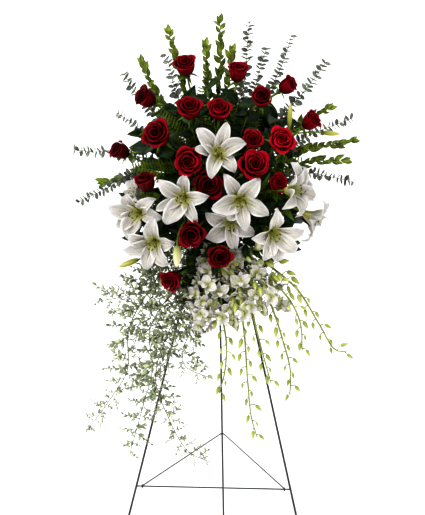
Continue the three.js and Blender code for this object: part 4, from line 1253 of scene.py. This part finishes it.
def dress_frond(line, index):
    """Side leaves in pairs, longest near the foot of the frond, so that it narrows to its tip."""
    for k, t, place, heading in line.places(0.18, 0.985, 20):
        flat = heading.cross(TO_VIEWER).normalized()
        length = 12 + 50 * (1 - t) ** 0.8 * min(1, t / 0.3)
        for side in (-1, 1):
            along = flat * side + heading * 0.55 + UP * 0.1 * vary(k + index)
            face = TO_VIEWER + UP * 0.4 + flat * side * 0.3
            lighter = 0.9 * t - 0.35 + 0.3 * vary(k * 5 + index + side)
            yield put_leaf(FERN_PINNA, place, along, face, length, lighter)


# Dark leaves close to the foam, between the blooms: where each stem is rooted, and its route
FILLERS = {
    "filler_upper": [
        ((-25, -40, 60), (-45, -120, 1240), (-55, -160, 1290), (-60, -170, 1325)),
        ((0, -30, 65), (0, -130, 1225), (5, -165, 1275), (-20, -165, 1400)),
        ((25, -35, 60), (45, -120, 1235), (70, -155, 1290), (85, -155, 1335)),
        ((-40, -10, 60), (-75, -120, 1215), (-115, -160, 1250), (-150, -160, 1265)),
        ((40, -10, 60), (75, -120, 1210), (125, -155, 1235), (165, -150, 1260)),
        ((45, 5, 60), (85, -110, 1185), (145, -125, 1195), (205, -130, 1225))],
    "filler_centre": [
        ((-20, 10, 70), (-30, -150, 1165), (-40, -185, 1185), (-25, -190, 1215)),
        ((15, 20, 70), (20, -150, 1150), (40, -185, 1160), (60, -190, 1190)),
        ((-30, 50, 70), (-50, -150, 1120), (-95, -180, 1120), (-135, -180, 1140)),
        ((30, 50, 70), (50, -150, 1100), (95, -175, 1085), (135, -160, 1080)),
        ((0, 70, 70), (0, -165, 1085), (-5, -200, 1085), (-20, -205, 1080)),
        ((-20, 100, 70), (-30, -165, 1050), (-60, -195, 1030), (-100, -190, 1010)),
        ((-35, 75, 65), (-70, -150, 1080), (-130, -185, 1065), (-180, -190, 1050)),
        ((20, 100, 70), (30, -165, 1045), (60, -190, 1030), (105, -180, 1020)),
        ((40, 55, 65), (90, -130, 1095), (165, -150, 1085), (225, -150, 1072)),
        ((-30, 90, 65), (-60, -140, 1065), (-100, -150, 1050), (-145, -155, 1035))],
    "filler_low": [
        ((0, 130, 75), (0, -165, 1005), (5, -200, 985), (15, -200, 950)),
        ((-20, 150, 70), (-28, -150, 975), (-45, -185, 940), (-70, -185, 900)),
        ((25, 140, 75), (35, -160, 985), (60, -195, 955), (85, -190, 905)),
        ((15, 160, 70), (20, -155, 955), (35, -190, 905), (45, -185, 855)),
        ((30, 115, 75), (45, -160, 1005), (80, -190, 1005), (115, -190, 985))],
}


def dress_filler(line, index):
    for k, _, place, heading in line.places(0.25, 0.98, 14):
        side = outward(heading, k * GOLDEN_ANGLE + index) * 0.9 + heading * 0.5
        face = Vector((0.7 * vary(k + 3), -1, 0.4 + 0.6 * vary(k)))
        length = 48 + 12 * vary(index * 3 + k)
        yield put_leaf(FILL_LEAF, place, side, face, length, 0.5 * vary(k * 3 + index * 5))


def add_ground(groups, dress, steps, radii):
    """Fronds or leafy stems behind the blooms, with no solids of their own. Each piece holds one group."""
    for name, stems in groups.items():
        pieces = []
        for index, (root, *route) in enumerate(stems):
            line = stem_line(root, route, steps)
            pieces.append(stem(line.points, radii, FLOWER_STEM, 0))
            pieces.extend(dress(line, index))
        on_frame(joined(name, pieces), "broad_leaf")


add_roses()
add_lilies()
add_flower_stems()
# For each kind: its material slot, the radius of its stems, their material and how they are dressed
add_bunches(EUCALYPTUS, "eucalyptus_leaf", 0.0013, TWIG, dress_eucalyptus)
add_bunches(RUSCUS, "ruscus_leaf", 0.0013, FLOWER_STEM, dress_ruscus)
add_bunches(ORCHIDS, "orchid", 0.003, ORCHID_STEM, dress_orchid)
add_bunches(VINES, "vine_leaf", 0.0014, TWIG, dress_vine)
add_bunches(BROAD_LEAVES, "broad_leaf", 0.0017, FLOWER_STEM, dress_broad)
add_ground(FERNS, dress_frond, steps=30, radii=(0.0015, 0.0006))
add_ground(FILLERS, dress_filler, steps=16, radii=(0.0016, 0.0008))
for shape in models:
    bpy.data.objects.remove(shape)
